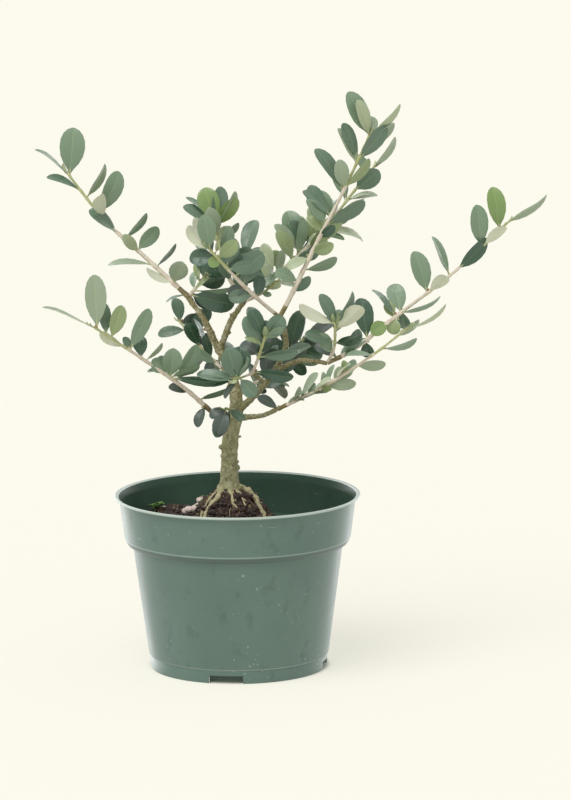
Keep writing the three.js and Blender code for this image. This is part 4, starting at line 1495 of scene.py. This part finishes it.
@dataclass(frozen=True)
class Ground:
    """The compost's surface: a root mound, loose compost heaped behind it, and what lies on it.

    Chips are rows of x, y, lift and heading; sprigs are rows of x, y, how many there are and how tall.
    """

    level: float = 77.0
    gap: float = 0.3
    mound: Span = (-3.0, 0.0)
    mound_top: float = 111.0
    mound_flat: float = 6.0
    mound_spread: float = 33.0
    heap: Span = (-42.0, 38.0)
    heap_height: float = 15.0
    heap_spread: float = 26.0
    sectors: int = 168
    rings: int = 64
    crumbs: int = 4200
    grains: Span = (0.93, 0.98)
    fibres: int = 130
    chips: tuple[tuple[float, ...], ...] = (
        (-30.5, 29, 1.2, 20), (-25, 31, 1.4, -35), (-29.5, 28, 3.2, 60), (-25.5, 29, 4.4, 5),
        (-23, 29.5, 6.6, 40), (-21.5, 30, 9, 15),
    )
    chip_size: Place = (11, 9, 5)
    sprigs: tuple[tuple[float, float, int, float], ...] = ((-22, 8, 8, 2.2), (-51, 35, 9, 3.4))
    seed: int = 4711

    def height(self, x: float, y: float) -> float:
        """Returns the surface's height at a place."""
        away = math.hypot(x - self.mound[0], y - self.mound[1])
        slope = smoothstep(away, self.mound_flat, self.mound_flat + self.mound_spread)
        heap_away = math.hypot(x - self.heap[0], y - self.heap[1]) / self.heap_spread
        heap = self.heap_height * math.exp(-(heap_away**2) / 2)
        return self.level + (self.mound_top - self.level) * (1 - slope) + heap * slope

    def lumps(self, x: float, y: float) -> float:
        """Returns how far the surface's clods and hollows lie under or over its plain height."""
        spot = Vector((x, y, 3.0))
        coarse = noise.noise(spot * 0.16) * 2.0
        fine = noise.noise(spot * 0.4) * 2.2 + noise.noise(spot * 0.75) * 1.0
        near_trunk = smoothstep(math.hypot(x - TRUNK_START[0], y - TRUNK_START[1]), 5.0, 11.0)
        return (coarse + fine - 0.6) * near_trunk

    def build(self, pot: Pot, finishes: Finishes) -> None:
        """Makes the compost, its crumbs, its fibres and what lies on it.

        Args:
            pot: The pot that holds it.
            finishes: The materials.
        """
        Bench.hand_in(self._body(pot, finishes), "potting_soil", "soil")
        Bench.hand_in(self._crumbs(pot, finishes), "potting_soil", "soil")
        Bench.hand_in(self._fibres(pot, finishes), "potting_soil")
        Bench.hand_in(self._chips(finishes), "potting_soil")
        Bench.hand_in(self._moss(finishes), "potting_soil")

    def _body(self, pot: Pot, finishes: Finishes) -> bpy.types.Object:
        """Extrudes a disc up the pot's wall and in over the surface, then moulds that surface.

        Args:
            pot: The pot that holds it.
            finishes: The materials.

        Returns:
            The compost.
        """
        (foot, foot_height), (side, top) = pot.inner_wall()[:2]
        step, foot_height = pot.channel_inner - self.gap, foot_height + self.gap
        course = [
            (step - 1.8, pot.floor + self.gap), (step - 0.8, foot_height), (foot - self.gap, foot_height),
            (side - self.gap, top)]
        Bench.clear_selection()
        bpy.ops.mesh.primitive_circle_add(
            vertices=self.sectors, radius=course[0][0] * MM, fill_type="TRIFAN",
            location=(0, 0, course[0][1] * MM))
        soil = Bench.settle(Bench.named("compost"))
        bpy.ops.object.mode_set(mode="EDIT")
        bpy.ops.mesh.select_mode(type="EDGE")
        bpy.ops.mesh.select_all(action="SELECT")
        bpy.ops.mesh.region_to_loop()
        for (radius, height), (wider, higher) in zip(course, course[1:]):
            bpy.ops.mesh.extrude_region_move(
                TRANSFORM_OT_translate={"value": (0, 0, (higher - height) * MM)})
            bpy.ops.transform.resize(
                value=(wider / radius, wider / radius, 1), center_override=(0, 0, higher * MM))
        last = 1.0
        for share in [0.995, *(1 - ring / self.rings for ring in range(1, self.rings))]:
            bpy.ops.mesh.extrude_region_move(TRANSFORM_OT_translate={"value": (0, 0, 0.5 * MM)})
            bpy.ops.transform.resize(value=(share / last, share / last, 1), center_override=(0, 0, 0))
            last = share
        bpy.ops.mesh.merge(type="CENTER")
        bpy.ops.mesh.select_all(action="SELECT")
        bpy.ops.mesh.normals_make_consistent(inside=False)
        bpy.ops.object.mode_set(mode="OBJECT")
        for vertex in soil.data.vertices:
            if vertex.co.z / MM > top - 0.01:
                vertex.co = Vector(self._moulded(pot, vertex.co / MM, course[-1])) * MM
        soil.data.materials.append(finishes.soil)
        Bench.smooth(soil, 80)
        return soil

    def _moulded(self, pot: Pot, spot: Vector, rim: Span) -> Place:
        """Finds where a place on the flat disc goes.

        Args:
            pot: The pot that holds the compost.
            spot: The place on the disc.
            rim: The disc's radius and the height of its rim.

        Returns:
            The place on the surface, or for the rim itself the place on the pot's wall just under it.
        """
        turn = math.atan2(spot.y, spot.x)
        edge = self._edge(pot, turn)
        if spot.z < rim[1] + 0.01:
            low = min(rim[1], self.height(edge * math.cos(turn), edge * math.sin(turn)))
            radius = pot.inner_radius(low) - self.gap
            return radius * math.cos(turn), radius * math.sin(turn), low
        share = min(math.hypot(spot.x, spot.y) / rim[0], 1.0)
        x = self.mound[0] * (1 - share) + share * edge * math.cos(turn)
        y = self.mound[1] * (1 - share) + share * edge * math.sin(turn)
        return x, y, self.height(x, y) + self.lumps(x, y) * smoothstep(1 - share, 0.0, 0.05)

    def _edge(self, pot: Pot, turn: float) -> float:
        """Returns the radius at which the surface meets the pot's wall on one heading."""
        radius = pot.collar_bottom_radius
        for _ in range(6):
            height = self.height(radius * math.cos(turn), radius * math.sin(turn))
            radius = pot.inner_radius(height) - self.gap
        return radius

    def _scatter(self, pot: Pot, numbers: Iterator[float], mound_share: float) -> Span:
        """Picks a place on the surface, more often on the mound.

        Args:
            pot: The pot that holds the compost.
            numbers: Where the choice comes from.
            mound_share: The share of places that go to the mound.

        Returns:
            The place.
        """
        turn = 2 * math.pi * next(numbers)
        spread = math.sqrt(next(numbers))
        if next(numbers) < mound_share:
            radius = 7.5 + 22 * spread
            return self.mound[0] + radius * math.cos(turn), self.mound[1] + radius * math.sin(turn)
        radius = (self._edge(pot, turn) - 2.0) * spread
        return radius * math.cos(turn), radius * math.sin(turn)

    def _crumbs(self, pot: Pot, finishes: Finishes) -> bpy.types.Object:
        """Scatters crumbs and a few pale grains over the surface.

        Args:
            pot: The pot that holds the compost.
            finishes: The materials.

        Returns:
            The crumbs as one piece.
        """
        Bench.clear_selection()
        bpy.ops.mesh.primitive_ico_sphere_add(subdivisions=1, radius=1.0)
        ball = Bench.named("crumb")
        corners = np.array([vertex.co[:] for vertex in ball.data.vertices])
        faces = [tuple(face.vertices) for face in ball.data.polygons]
        bpy.data.objects.remove(ball)
        numbers = random_numbers(self.seed)
        heap = Heap()
        for _ in range(self.crumbs):
            x, y = self._scatter(pot, numbers, 0.45)
            size = 0.4 + 2.2 * next(numbers) ** 4
            dents = np.array([[0.7 + 0.6 * next(numbers)] for _ in corners])
            stretch = np.array([0.7 + 0.7 * next(numbers), 0.7 + 0.5 * next(numbers), 0.8])
            spot = np.array([x, y, self.height(x, y) + self.lumps(x, y) + 0.15 * size])
            kind = next(numbers)
            slot = 1 if kind > self.grains[1] else 2 if kind > self.grains[0] else 0
            size = min(size, 0.9) if slot else size
            heap.add(spot + corners * dents * stretch * size, faces, [slot] * len(faces))
        return heap.build("compost_crumbs", [finishes.crumb, finishes.chip, finishes.grit], 30)

    def _fibres(self, pot: Pot, finishes: Finishes) -> bpy.types.Object:
        """Lays short curved fibres and root hairs over the surface.

        Args:
            pot: The pot that holds the compost.
            finishes: The materials.

        Returns:
            The fibres as one piece.
        """
        numbers = random_numbers(self.seed + 1)
        heap = Heap()
        steps, farthest = 6, 60
        for _ in range(self.fibres):
            x, y = self._scatter(pot, numbers, 0.6)
            heading = 2 * math.pi * next(numbers)
            bend = 1.6 * (2 * next(numbers) - 1)
            length = 3 + 7 * next(numbers)
            thick = 0.12 + 0.2 * next(numbers) ** 2
            middles = []
            for _step in range(steps + 1):
                middles.append([x, y, self.height(x, y) + self.lumps(x, y) + 0.3 + 0.5 * next(numbers)])
                x += length / steps * math.cos(heading)
                y += length / steps * math.sin(heading)
                heading += bend / steps
                if math.hypot(x, y) > farthest:
                    break
            if len(middles) > 3:
                radii = [thick * (1 - 0.6 * index / len(middles)) for index in range(len(middles))]
                heap.add_tube(np.array(middles), radii, 5, [int(next(numbers) > 0.6)])
        return heap.build("compost_fibres", [finishes.fibre, finishes.rootlet], 60)

    def _chips(self, finishes: Finishes) -> bpy.types.Object:
        """Stacks pale bark chips beside the trunk.

        Args:
            finishes: The materials.

        Returns:
            The chips as one piece.
        """
        numbers = random_numbers(self.seed + 2)
        chips = []
        for x, y, lift, turn in self.chips:
            Bench.clear_selection()
            bpy.ops.mesh.primitive_cube_add(size=MM)
            chip = Bench.named("chip")
            chip.scale = self.chip_size
            chip.rotation_euler = (
                0.3 * (2 * next(numbers) - 1), 0.3 * (2 * next(numbers) - 1), math.radians(turn))
            chip.location = (x * MM, y * MM, (self.height(x, y) + lift) * MM)
            Bench.settle(chip)
            Bench.modify(chip, "SUBSURF", levels=3, render_levels=3)
            Bench.displace(chip, 3, 1.0, 0.4)
            chips.append(chip)
        chip = Bench.join(chips, "bark_chips")
        chip.data.materials.append(finishes.chip)
        Bench.smooth(chip, 60)
        return chip

    def _moss(self, finishes: Finishes) -> bpy.types.Object:
        """Plants small sprigs with rounded leaflets at two places.

        Args:
            finishes: The materials.

        Returns:
            The sprigs as one piece.
        """
        numbers = random_numbers(self.seed + 3)
        shape = LeafShape(thickness=0.25)
        heap = Heap()
        leaflets = 5
        for x, y, sprigs, tall in self.sprigs:
            for _ in range(sprigs):
                px = x + 4.6 * (next(numbers) - 0.5)
                py = y + 4.0 * (next(numbers) - 0.5)
                foot = np.array([px, py, self.height(px, py) - 0.6])
                top = foot + np.array(
                    [next(numbers) - 0.5, next(numbers) - 0.5, tall * (0.6 + 0.6 * next(numbers))])
                heap.add_tube(np.array([foot, (foot + top) / 2, top]), [0.25, 0.22, 0.18], 5, [0])
                for leaflet in range(leaflets):
                    turn = 2 * math.pi * (leaflet / leaflets + 0.1 * next(numbers))
                    out = unit(np.array([math.cos(turn), math.sin(turn), 0.35 + 0.4 * next(numbers)]))
                    across = unit(np.cross(UP, out))
                    size = 2.0 + 1.4 * next(numbers)
                    leaf = Leaf(top, out, across, np.cross(out, across), size, size * 0.75, 0.08)
                    shape.add(heap, leaf, 0, 0)
        return heap.build("moss_sprigs", [finishes.moss], 70)


# ---------------------------------------------------------------- limbs as meshes


@dataclass(frozen=True)
class Root:
    """A surface root that runs out over the mound and dips into it."""

    heading: float
    turn: float
    length: float
    base: float
    tip: float


ROOTS = (
    Root(-6, -40, 30, 2.3, 1.3), Root(-122, -40, 26, 2.0, 1.1), Root(-158, 10, 21, 1.2, 0.8),
    Root(-52, -10, 21, 1.1, 0.7), Root(-92, 40, 24, 1.2, 0.8), Root(58, 20, 26, 1.8, 0.9),
    Root(142, -30, 28, 1.9, 1.0), Root(28, -12, 20, 1.1, 0.7),
)


@dataclass(frozen=True)
class Knot:
    """A bud, snag or wart: how far along its limb it sits, its heading, its length and its radius."""

    at: float
    heading: float
    length: float
    radius: float


KNOTS = {
    "trunk": (
        Knot(27, 185, 3.4, 1.5), Knot(34, 5, 3.2, 0.8), Knot(14, 8, 2.0, 1.6), Knot(18, 2, 1.6, 1.3),
        Knot(22, 200, 1.2, 1.4), Knot(9, 250, 1.4, 1.7), Knot(43, 170, 2.0, 1.4), Knot(55, 30, 2.0, 1.2),
        Knot(66, 190, 2.4, 1.0)),
    "bough_right_low": (Knot(7, 100, 3.6, 1.2), Knot(16, -80, 1.6, 1.0)),
    "bough_upper_left": (Knot(14, 200, 2.4, 1.0), Knot(26, 20, 1.8, 0.9)),
    "bough_upper_centre": (Knot(13, -10, 1.8, 0.9), Knot(24, 190, 1.8, 0.8)),
    "bough_right_centre": (Knot(18, 190, 2.2, 1.0),),
    "bough_left_low": (Knot(9, 110, 1.8, 0.9),),
    "bough_right_side": (Knot(12, 90, 1.6, 0.8), Knot(22, -90, 1.4, 0.8)),
}


@dataclass(frozen=True)
class Wood:
    """The trunk, its roots and the boughs as one skin with the bark's relief."""

    voxel: float = 0.36
    sides: int = 5
    step: float = 1.5
    relief: tuple[Span, ...] = ((5.0, 1.0), (1.7, 0.8), (0.8, 0.3))
    rootlets: int = 9
    seed: int = 77

    def build(self, limbs: dict[str, Limb], ground: Ground, finishes: Finishes) -> None:
        """Makes the skin and the fine roots.

        Args:
            limbs: The trunk and the boughs.
            ground: The surface that the roots run over.
            finishes: The materials.
        """
        strands = [limb.strand(max(3, round(limb.length / self.step))) for limb in limbs.values()]
        strands += [self._root(root, ground, index) for index, root in enumerate(ROOTS)]
        strands += [self._knot(knot, limbs[name]) for name, knots in KNOTS.items() for knot in knots]
        skin = self._skin(strands)
        for size, depth in self.relief:
            Bench.displace(skin, size, depth, 0.5, noise_depth=2)
        skin.data.materials.clear()
        skin.data.materials.append(finishes.bark)
        Bench.smooth(skin, 75)
        Bench.hand_in(skin, "bark", "trunk", *BOUGHS)
        Bench.hand_in(self._rootlets(ground, finishes), "bark")

    def _root(self, root: Root, ground: Ground, index: int) -> Strand:
        """Runs a surface root out over the ground, where it wanders and thickens a little.

        Args:
            root: The root.
            ground: The surface under it.
            index: Its number, which sets how it wanders.

        Returns:
            Its centre line and radii.
        """
        line = Limb(TRUNK_START, curling_course(root.heading, root.turn, root.length), (1, 1))
        middles, radii = [], []
        count = max(6, round(root.length / self.step))
        dips_from, sunk, deepest = 0.75, 0.45, 2.05
        for step in range(count + 1):
            share = step / count
            spot = line.point_at(root.length * share)
            wander = wandering(index * 7.3, root.length * share / 4.5, self.seed)
            bulge = noise.noise(Vector((index * 3.7, root.length * share / 2.2, 5.0)))
            x = spot[0] + 2.2 * wander.x * min(2 * share, 1)
            y = spot[1] + 2.2 * wander.y * min(2 * share, 1)
            radius = within((root.base, root.tip), share) * (1 + 0.7 * bulge)
            sink = sunk - deepest * max(share - dips_from, 0) / (1 - dips_from)
            middles.append([x, y, ground.height(x, y) + sink * radius])
            radii.append(radius)
        return np.array(middles), radii

    @staticmethod
    def _knot(knot: Knot, limb: Limb) -> Strand:
        """Sets a knot on its limb.

        Args:
            knot: The knot.
            limb: The limb.

        Returns:
            Its short centre line, from inside the limb outwards, and its radii.
        """
        middle = limb.point_at(knot.at)
        along = limb.direction_at(knot.at, 1.0)
        turn = math.radians(knot.heading)
        out = np.array([math.cos(turn), math.sin(turn), 0.25])
        out = unit(out - 0.8 * out.dot(along) * along)
        start = limb.radius_at(knot.at) * 0.5
        reach = limb.radius_at(knot.at) - start + 0.55 * knot.length
        middles = np.array([middle + out * (start + reach * share) for share in (0.0, 0.4, 0.75, 0.92, 1.0)])
        return middles, [knot.radius * size for size in (1.3, 1.15, 0.95, 0.75, 0.4)]

    def _skin(self, strands: Sequence[Strand]) -> bpy.types.Object:
        """Draws each strand as a round curve, makes them meshes and fuses them into one skin.

        Args:
            strands: The centre lines and radii.

        Returns:
            The skin.
        """
        tubes = []
        for middles, radii in strands:
            Bench.clear_selection()
            bpy.ops.curve.primitive_nurbs_path_add()
            curve = bpy.context.object
            curve.data.splines.clear()
            spline = curve.data.splines.new("POLY")
            spline.points.add(len(middles) - 1)
            for point, middle, radius in zip(spline.points, middles, radii):
                point.co = (*(middle * MM), 1.0)
                point.radius = radius
            curve.data.bevel_depth = MM
            curve.data.bevel_resolution = self.sides
            curve.data.use_fill_caps = True
            bpy.ops.object.convert(target="MESH")
            tubes.append(bpy.context.object)
        skin = Bench.join(tubes, "wood_skin")
        Bench.settle(skin)
        Bench.modify(skin, "REMESH", mode="VOXEL", voxel_size=self.voxel * MM)
        Bench.modify(skin, "SMOOTH", factor=0.5, iterations=2)
        return skin

    def _rootlets(self, ground: Ground, finishes: Finishes) -> bpy.types.Object:
        """Lays thin roots over the mound between the thick ones.

        Args:
            ground: The surface under them.
            finishes: The materials.

        Returns:
            The roots as one piece.
        """
        numbers = random_numbers(self.seed)
        heap = Heap()
        steps = 9
        for index in range(self.rootlets):
            heading = -170 + 340 * next(numbers)
            line = Limb(TRUNK_START, curling_course(heading, 60 * (2 * next(numbers) - 1), 26), (1, 1))
            first = 5.5 + 3 * next(numbers)
            length = 7 + 13 * next(numbers)
            thick = 0.22 + 0.4 * next(numbers) ** 2
            middles, radii = [], []
            for step in range(steps + 1):
                share = step / steps
                spot = line.point_at(first + length * share)
                wander = wandering(index * 3.1, share * 5.0, 9.0)
                x, y = spot[0] + 3.2 * wander.x * share, spot[1] + 3.2 * wander.y * share
                rise = 0.3 + 0.7 * wander.z - 1.6 * share**3
                middles.append([x, y, ground.height(x, y) + ground.lumps(x, y) * 0.5 + rise])
                radii.append(thick * (1 - 0.55 * share))
            heap.add_tube(np.array(middles), radii, 6, [0])
        return heap.build("fine_roots", [finishes.rootlet], 60)


# ---------------------------------------------------------------- foliage as meshes


@dataclass(frozen=True)
class LeafShape:
    """An olive leaf's blade: a closed shell with a midrib, folded along it and bowed over its length."""

    thickness: float = 0.42
    sections: tuple[Span, ...] = (
        (0.06, 0.035), (0.14, 0.12), (0.26, 0.3), (0.42, 0.445), (0.6, 0.5), (0.76, 0.475), (0.88, 0.38),
        (0.96, 0.24), (1.0, 0.07),
    )
    crease: float = 0.55
    rib: float = 0.05
    rib_sunk: float = 0.7
    rib_raised: float = 1.8
    recurve: float = 0.45

    def add(self, heap: Heap, leaf: Leaf, first_slot: int, slot_step: int = 1) -> None:
        """Adds one blade to a heap.

        Args:
            heap: Where it goes.
            leaf: The leaf.
            first_slot: The material slot of its upper side.
            slot_step: How far on the slots of its midrib and its underside are.
        """
        upper = (-1.0, -self.crease, -self.rib, self.rib, self.crease, 1.0)
        corners = [(side, 1, self.rib_sunk) for side in upper]
        corners += [(side, -1, self.rib_raised) for side in upper[-2:0:-1]]
        rows = []
        for along, half in self.sections:
            turn = math.radians(leaf.twist * (along - 0.5))
            across = math.cos(turn) * leaf.across + math.sin(turn) * leaf.face
            face = math.cos(turn) * leaf.face - math.sin(turn) * leaf.across
            middle = leaf.at(along, 0) - leaf.face * self.recurve * leaf.length * max(along - 0.6, 0) ** 2
            at_end = along in (self.sections[0][0], self.sections[-1][0])
            thick = self.thickness * (0.6 if at_end else 1.0)
            for side, sign, ribbed in corners:
                lift = half * leaf.width * leaf.fold * (abs(side) - 0.35 * abs(side) ** 3)
                raised = thick / 2 * (1 - abs(side) ** 3) * (ribbed if abs(side) == self.rib else 1.0)
                rows.append(middle + across * side * half * leaf.width + face * (lift + sign * raised))
        rib, below = first_slot + slot_step, first_slot + 2 * slot_step
        strips = [first_slot, first_slot, rib, first_slot, first_slot] + [below] * (len(corners) - 5)
        faces = ring_faces(len(self.sections), len(corners), flipped=True)
        heap.add(np.array(rows), faces, [below, *strips * (len(self.sections) - 1), below])


@dataclass(frozen=True)
class Foliage:
    """All twigs, petioles, buds and leaves, grown on from the limbs."""

    shape: LeafShape = field(default_factory=LeafShape)
    twig_sides: int = 8
    swelling: float = 0.28
    petiole: Span = (0.62, 0.42)
    tip_tone: int = 5

    def build(self, grown: dict[str, list[GrownShoot]], finishes: Finishes) -> None:
        """Makes the twigs and the leaves.

        Args:
            grown: The shoots of every mass.
            finishes: The materials.
        """
        twigs, leaves = Heap(), Heap()
        for shoot in (shoot for shoots in grown.values() for shoot in shoots):
            self._stem(twigs, shoot)
            self._buds(twigs, leaves, shoot)
            for leaf in shoot.leaves:
                self._petiole(twigs, leaf)
                self.shape.add(leaves, leaf, 3 * leaf.tone)
        Bench.hand_in(twigs.build("twigs", finishes.twigs, 50), "young_bark", *FOLIAGE)
        Bench.hand_in(leaves.build("leaves", finishes.leaves, 48), "foliage", *FOLIAGE)

    @staticmethod
    def _age(share: float, long: bool) -> int:
        """Returns the twig finish at a share of a shoot: old wood, pale skin or green tip."""
        if long and share < 0.06:
            return 0
        return 2 if share > (0.72 if long else 0.4) else 1

    def _stem(self, twigs: Heap, grown: GrownShoot) -> None:
        """Adds a shoot's stem, swollen where its leaves sit.

        Args:
            twigs: Where it goes.
            grown: The shoot.
        """
        limb = grown.limb
        places = sorted({limb.distance_to(leaf.root) for leaf in grown.leaves})
        count = max(4, round(limb.length / 1.6))
        spots = [limb.length * index / count for index in range(count + 1)]
        middles, radii = limb.strand(count)
        for index, spot in enumerate(spots):
            near = min((abs(spot - place) for place in places), default=9.0)
            radii[index] += self.swelling * math.exp(-((near / 1.5) ** 2))
        slots = [self._age(spot / limb.length, limb.length > 60) for spot in spots]
        twigs.add_tube(middles, radii, self.twig_sides, slots)

    def _petiole(self, twigs: Heap, leaf: Leaf) -> None:
        """Adds a leaf's stalk, from inside the twig to inside the blade.

        Args:
            twigs: Where it goes.
            leaf: The leaf.
        """
        middles = np.array([leaf.at(share, 0) for share in (0.0, 0.04, 0.08, 0.14, 0.22)])
        scale = min(leaf.length / 24, 1.1)
        radii = [scale * within(self.petiole, index / 4) for index in range(4)] + [0.12]
        twigs.add_tube(middles, radii, 6, [2])

    def _buds(self, twigs: Heap, leaves: Heap, grown: GrownShoot) -> None:
        """Adds small leaflets at the tip and buds in some leaf axils.

        Args:
            twigs: Where the buds go.
            leaves: Where the leaflets go.
            grown: The shoot.
        """
        limb = grown.limb
        numbers = random_numbers(grown.shoot.leafing.seed + 900)
        tip = limb.point_at(limb.length)
        along = limb.direction_at(limb.length, 3.0)
        side = unit(np.cross(along, UP))
        for sign in (1, -1):
            out = unit(along + 0.28 * sign * side)
            across = unit(np.cross(out, UP))
            size = 5.5 + 4 * next(numbers)
            leaf = Leaf(tip, out, across, np.cross(out, across), size, size * 0.34, 0.05, fold=0.4)
            self.shape.add(leaves, leaf, 3 * self.tip_tone)
        for leaf in grown.leaves[::2]:
            if next(numbers) < 0.6:
                out = unit(leaf.out + limb.direction_at(0.5 * limb.length, 3.0))
                middles = np.array([leaf.root + out * reach for reach in (0.5, 1.7, 2.5, 3.1)])
                twigs.add_tube(middles, [0.55, 0.7, 0.5, 0.15], 6, [3 if next(numbers) < 0.5 else 2])


# ---------------------------------------------------------------- studio


@dataclass(frozen=True)
class Studio:
    """The camera, the key light, the pale world and the pale floor."""

    focal_length: float = 255.9
    sensor: float = 36.0
    distance: float = 3500.0
    pitch: float = 10.26
    roll: float = 0.5
    target: Place = (30.2, 0.0, 166.4)
    paper: Colour = (251, 249, 236)
    ambient: float = 0.52
    mirrored: float = 1.0
    side_mirrored: Span = (2.5, 1.7)
    floor_glow: float = 0.66
    floor_light: float = 0.97
    foot: Span = (53.0, 58.0)
    key_heading: float = -35.0
    key_rise: float = 57.0
    key_strength: float = 1.85
    key_width: float = 44.0

    def build(self) -> None:
        """Sets up the camera, the world, the sun and the floor."""
        scene = bpy.context.scene
        scene.view_settings.view_transform = "Standard"
        scene.view_settings.look = "None"
        scene.camera = self._camera()
        self._world(scene)
        self._sun()
        self._floor()

    def _camera(self) -> bpy.types.Object:
        """Places the camera.

        Returns:
            The camera.
        """
        pitch, roll = math.radians(self.pitch), math.radians(self.roll)
        forward = Vector((0, math.cos(pitch), -math.sin(pitch)))
        up = Vector((0, math.sin(pitch), math.cos(pitch)))
        right = Vector((1, 0, 0))
        image_right = math.cos(roll) * right - math.sin(roll) * up
        image_up = math.sin(roll) * right + math.cos(roll) * up
        data = bpy.data.cameras.new("camera")
        data.lens = self.focal_length
        data.sensor_width = self.sensor
        data.clip_end = 60.0
        camera = bpy.data.objects.new("camera", data)
        turn = Matrix((image_right, image_up, -forward)).transposed()
        place = (Vector(self.target) - self.distance * forward) * MM
        camera.matrix_world = Matrix.Translation(place) @ turn.to_4x4()
        bpy.context.scene.collection.objects.link(camera)
        return camera

    def _world(self, scene: bpy.types.Scene) -> None:
        """Surrounds the object with pale paper, brighter to the eye than as a lamp, and with bright
        panels to the left and right behind the object, which only a gloss mirrors.

        Args:
            scene: The scene.
        """
        world = bpy.data.worlds.new("studio")
        scene.world = world
        world.use_nodes = True
        wiring = Wiring(world.node_tree)
        background = wiring.nodes["Background"]
        wiring.feed(background, "Color", (1, 1, 1, 1))
        path = wiring.node("LightPath", {}).outputs
        place = wiring.node("TexCoord", {}).outputs["Generated"]
        split = wiring.node("SeparateXYZ", {0: place}).outputs
        left = wiring.ramp(split["X"], -0.4, -0.15, self.side_mirrored[0], 0.0)
        right = wiring.ramp(split["X"], 0.15, 0.4, 0.0, self.side_mirrored[1])
        reach = wiring.maths(
            "MULTIPLY", wiring.ramp(split["Y"], 0.1, 0.95), wiring.ramp(split["Z"], -0.42, -0.2))
        panels = wiring.maths("MULTIPLY_ADD", wiring.maths("ADD", left, right), reach, self.mirrored)
        glossy = wiring.ramp(path["Is Glossy Ray"], 0.0, 1.0, self.ambient, panels)
        wiring.feed(background, "Strength", wiring.ramp(path["Is Camera Ray"], 0.0, 1.0, glossy, 1.0))

    def _sun(self) -> None:
        """Adds one soft sun, whose heading is counted from the camera's side towards the right."""
        data = bpy.data.lights.new("key", "SUN")
        data.energy = self.key_strength
        data.angle = math.radians(self.key_width)
        sun = bpy.data.objects.new("key", data)
        turn, lift = math.radians(self.key_heading), math.radians(self.key_rise)
        source = Vector((math.cos(lift) * math.sin(turn), -math.cos(lift) * math.cos(turn), math.sin(lift)))
        sun.matrix_world = source.to_track_quat("Z", "Y").to_matrix().to_4x4()
        bpy.context.scene.collection.objects.link(sun)

    def _floor(self) -> None:
        """Lays a wide pale floor that takes only a faint shadow."""
        Bench.clear_selection()
        bpy.ops.mesh.primitive_plane_add(size=40.0)
        floor = Bench.named("studio_floor")
        material = bpy.data.materials.new("pale paper floor")
        material.use_nodes = True
        wiring = Wiring(material.node_tree)
        shader, paper = wiring.nodes["Principled BSDF"], linear(self.paper)
        wiring.feed(shader, "Base Color", (*(share / self.floor_light for share in paper[:3]), 1))
        wiring.feed(shader, "Roughness", 1.0)
        wiring.feed(shader, "Specular IOR Level", 0.0)
        glow = wiring.node("Emission", {"Color": paper}).outputs[0]
        place = wiring.node("TexCoord", {}).outputs["Object"]
        away = wiring.node("VectorMath", {0: place}, operation="LENGTH").outputs["Value"]
        under = wiring.ramp(away, self.foot[0] * MM, self.foot[1] * MM, 0.0, self.floor_glow)
        mixed = wiring.node("MixShader", {0: under, 1: shader.outputs[0], 2: glow})
        wiring.feed(wiring.nodes["Material Output"], "Surface", mixed.outputs[0])
        floor.data.materials.append(material)
        floor.visible_glossy = False
        floor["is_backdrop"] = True


# ---------------------------------------------------------------- assembly


def corners() -> list[list[float]]:
    """Returns the whole model's lowest and highest corners as plain lists."""
    return [list(corner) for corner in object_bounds()]


def main() -> None:
    """Builds the studio, the pot, the soil, the wood and the foliage over the loaded frame."""
    logging.basicConfig(level=logging.INFO, format="%(name)s %(message)s")
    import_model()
    Studio().build()
    finishes = Finishes()
    pot = Pot()
    ground = Ground()
    limbs = grow_limbs()
    grown = grow_foliage(limbs, LeafRule())
    LOG.info("%d leaves", sum(len(shoot.leaves) for shoots in grown.values() for shoot in shoots))
    pot.build(finishes)
    ground.build(pot, finishes)
    Wood().build(limbs, ground, finishes)
    Foliage().build(grown, finishes)


if __name__ == "__main__":
    main()
